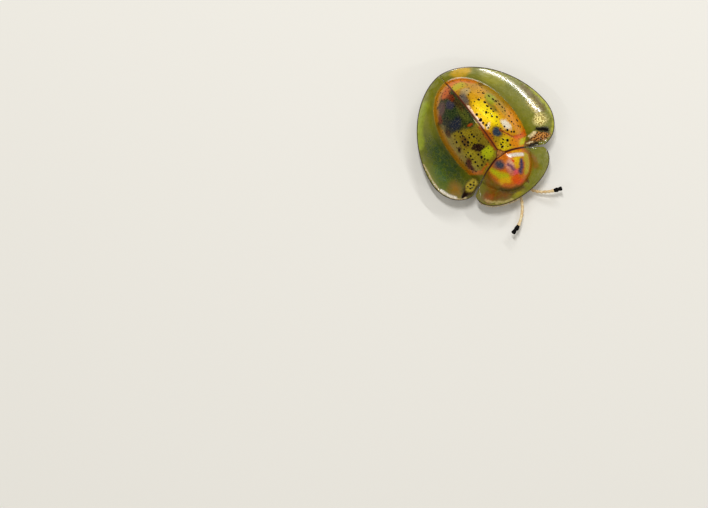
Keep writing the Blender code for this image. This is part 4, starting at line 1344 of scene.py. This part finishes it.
print("feelers")
feelerJoints = feelerTree()
jointShape = makeJoint()
madeFeelers = [(label, makeFeeler(label, jointShape, feelerJoints)) for label in ("left", "right")]
bpy.data.objects.remove(jointShape, do_unlink=True)
for label, feeler in madeFeelers:
    settle(feeler, "straw_limb", "antenna_" + label)


# Legs

legs = {
    "front": {"coxa": (0.66, -1.36, 1.02), "knee": (2.00, -1.66, 1.06), "ankle": (2.26, -2.12, 0.30),
              "toe": (2.62, -3.06, 0.15)},
    "middle": {"coxa": (0.86, 0.62, 1.00), "knee": (2.62, 0.56, 1.12), "ankle": (3.06, 0.44, 0.30),
               "toe": (3.98, 0.10, 0.15)},
    "hind": {"coxa": (0.86, 2.36, 1.00), "knee": (2.36, 3.50, 1.10), "ankle": (2.78, 4.20, 0.30),
             "toe": (3.30, 5.12, 0.15)},
}
legSizes = {
    "hip": (0.42, 0.34, 0.36),
    "thigh": 0.30,
    "thighTaper": (0.5, 0.9, 1.0, 0.9, 0.55),
    "shin": 0.17,
    "shinTaper": (0.75, 0.8, 1.0, 1.25, 1.15),
    "knee": 0.62,           # in shares of the thigh
    "flatness": 0.85,
    "lobe": (0.26, 0.30, 0.15),
    "lobeZ": 0.145,
    "lobes": (0.82, 0.92, 1.02),
    "notch": (0.35, 0, 0.28),
    "claw": (0.05, 0.042, 0.012),
    "hairs": 0.10,
    "hairWidth": 0.007,
    "hairsBelow": 0.45,     # the height over the floor up to which the legs have hairs
    "hairsPerMm2": 60.0,
}


def hairTree():
    # short hairs standing on a surface, each leaning its own way
    g = GeometryGraph("shortHairs", {"Length": "Float", "Thickness": "Float", "Density": "Float",
                                     "Below": "Float", "Seed": "Int", "Finish": "Material"})
    given, seed = g.given, g.given("Seed")
    height = g.add("ShaderNodeSeparateXYZ", [g.geo("InputPosition")]).out("Z")
    wanted = (height < given("Below")) * (height > 0.06 * mm) > 0.5
    roots = g.geo("DistributePointsOnFaces", {
        "Mesh": given(), "Selection": wanted, "Density": given("Density"), "Seed": seed}, distribute_method="RANDOM")
    heading = g.vector("ADD", roots.out("Normal"), g.random((-0.5, -0.5, -0.5), (0.5, 0.5, 0.3), seed))
    return g.close(g.join(g.hairs(roots, heading, g.random(0.6, 1.2, seed), 3, 0.12), given()))


def makeLeg(key, side, tree):
    # hip, thigh, shin, three lobed foot joints and a claw joint with its two claws
    coxa, knee, ankle, toe = (np.array(legs[key][part]) * (side, 1, 1) for part in ("coxa", "knee", "ankle", "toe"))
    thigh, shin = legSizes["thigh"], legSizes["shin"]
    parts = [
        roundBody("hip", coxa, legSizes["hip"], limbFinish, 32, 18),
        tube("thigh", [coxa, (coxa + knee) / 2 + (0, 0, 0.05), knee], 14,
             [share * thigh for share in legSizes["thighTaper"]], limbFinish, 22, legSizes["flatness"]),
        roundBody("knee", knee, (legSizes["knee"] * thigh,) * 3, limbFinish, 20, 12),
        tube("shin", [knee, (knee + ankle) / 2 + (0, 0, 0.04), ankle], 12,
             [share * shin for share in legSizes["shinTaper"]], limbFinish, 18, legSizes["flatness"]),
    ]
    run = toe - ankle
    heading = math.atan2(run[1], run[0]) - math.pi / 2
    c, s = math.cos(heading), math.sin(heading)

    def turned(grid):
        # a lobe notched in front, flattened below and turned to the foot's heading
        x, y, z = grid.T
        y = y - swell(x, *legSizes["notch"]) * (y > 0.3)
        w, d, h = legSizes["lobe"]
        x, y = x * w, y * d
        return np.stack([x * c - y * s, x * s + y * c, np.maximum(z, -0.95) * h], -1)

    for number, grown in enumerate(legSizes["lobes"]):
        place = ankle + run * ((number + 0.42) / 3)
        place[2] = legSizes["lobeZ"]
        parts.append(roundBody("lobe", place, (grown, grown, 1.0), limbFinish, 28, 14, turned))
    ahead = np.array((run[0], run[1], 0)) / math.hypot(run[0], run[1])
    across = np.array((-ahead[1], ahead[0], 0))
    foot = [toe - ahead * 0.35, toe - ahead * 0.1 + (0, 0, 0.06), toe + ahead * 0.06]
    parts.append(tube("clawJoint", foot, 8, (0.05, 0.07, 0.08), limbFinish, 12))
    for spread in (1, -1):
        bent = [toe + across * spread * 0.03, toe + ahead * 0.14 + across * spread * 0.10 + (0, 0, 0.02),
                toe + ahead * 0.22 + across * spread * 0.13 - (0, 0, 0.11)]
        parts.append(tube("claw", bent, 9, legSizes["claw"], tipFinish, 10))
    leg = joined(key + "Leg" + ("Left" if side > 0 else "Right"), parts)
    useTree(leg, tree, {
        "Length": legSizes["hairs"] * mm, "Thickness": legSizes["hairWidth"] * mm,
        "Density": legSizes["hairsPerMm2"] * 1e6, "Below": legSizes["hairsBelow"] * mm, "Seed": 5 + side,
        "Finish": bristleFinish})
    for vertex in leg.data.vertices:
        vertex.co.z = max(vertex.co.z, 0.0)
    leg.data.shade_smooth()
    return leg


print("legs")
shortHairs = hairTree()
for key in legs:
    for side, label in ((1, "left"), (-1, "right")):
        settle(makeLeg(key, side, shortHairs), "straw_limb", f"leg_{key}_{label}")


# Studio and camera

studio = {
    "floorColours": ((246, 244, 238), (214, 210, 200)),
    "floorSize": 1.2,
    "skyColour": (255, 250, 238),
    "skyStrength": 0.30,
    # each softbox: where it stands, in metres from the middle of the animal, its size and its power in watts
    "softboxes": [
        {"at": (0.060, 0.125, 0.375), "size": (0.030, 0.11), "power": 0.64, "turn": 0},
        {"at": (0.130, -0.29, 0.23), "size": (0.020, 0.05), "power": 0.10, "turn": 60},
        {"at": (0.1925, 0.1006, 0.2012), "size": (0.010, 0.20), "power": 0.24, "turn": 6},
        {"at": (-0.190, 0.03, 0.219), "size": (0.0035, 0.16), "power": 0.05, "turn": 5},
    ],
}
photoView = {
    "azimuth": -36.0,
    "elevation": 82.0,
    "lens": 90.0,
    "sensor": 36.0,
    "clip": (0.005, 5.0),
    "distance": 0.16238,
    "aim": (0.0, 2.5, 2.0),        # the point whose place in the picture is known, in millimetres
    "aimPixel": (482.15, 133.2),   # that place, across and down
    "frameSize": (708, 508),
}


def lookFrom(azimuth, elevation):
    a, e = math.radians(azimuth), math.radians(elevation)
    return Vector((math.sin(a) * math.cos(e), -math.cos(a) * math.cos(e), math.sin(e)))


def makeStudio():
    bpy.ops.mesh.primitive_plane_add(size=studio["floorSize"])
    floor = bpy.context.object
    floor.name = "studioFloor"
    pale = Finish("paleFloor", {"Roughness": 0.75})
    light, dark = (tint(*colour) for colour in studio["floorColours"])
    pale.feed({"Base Color": pale.mix(pale.noise(0.02, 2.0) * 0.06, light, dark)})
    floor.data.materials.append(pale.material)
    world = bpy.data.worlds.new("studioSky")
    world.use_nodes = True
    sky = world.node_tree.nodes["Background"]
    sky.inputs["Color"].default_value = tint(*studio["skyColour"])
    sky.inputs["Strength"].default_value = studio["skyStrength"]
    bpy.context.scene.world = world
    for number, box in enumerate(studio["softboxes"]):
        lamp = bpy.data.lights.new(f"softbox{number}", "AREA")
        lamp.shape = "RECTANGLE"
        lamp.size, lamp.size_y = box["size"]
        lamp.energy = box["power"]
        stand = newObject(lamp.name, lamp)
        stand.location = box["at"]
        stand.rotation_mode = "QUATERNION"
        down = (-Vector(box["at"])).normalized()
        along = Matrix.Rotation(math.radians(box["turn"]), 3, "Z") @ Vector((0, 1, 0))
        across = along.cross(-down).normalized()
        facing = Matrix((across, (-down).cross(across), -down)).transposed()
        stand.rotation_quaternion = facing.to_quaternion()
    bpy.context.scene.view_settings.view_transform = "Standard"


def makeCamera():
    # the camera stands where the picture was seen from, turned until the aim point is at its pixel
    eye = bpy.data.cameras.new("photoCamera")
    eye.lens = photoView["lens"]
    eye.sensor_width = photoView["sensor"]
    eye.clip_start, eye.clip_end = photoView["clip"]
    camera = newObject("photoCamera", eye)
    towards = lookFrom(photoView["azimuth"], photoView["elevation"])
    width, height = photoView["frameSize"]
    pixels = photoView["lens"] / photoView["sensor"] * width
    across, down = photoView["aimPixel"]
    ray = Vector((across - width / 2, height / 2 - down, -pixels)).normalized()
    aim = (Vector(photoView["aim"]) + Vector((0, shiftY, 0))) * mm
    camera.location = aim + towards * photoView["distance"]
    camera.rotation_mode = "QUATERNION"
    camera.rotation_quaternion = (-towards).to_track_quat("-Z", "Y") @ ray.rotation_difference(Vector((0, 0, -1)))
    bpy.context.scene.camera = camera


print("studio and camera")
makeStudio()
makeCamera()
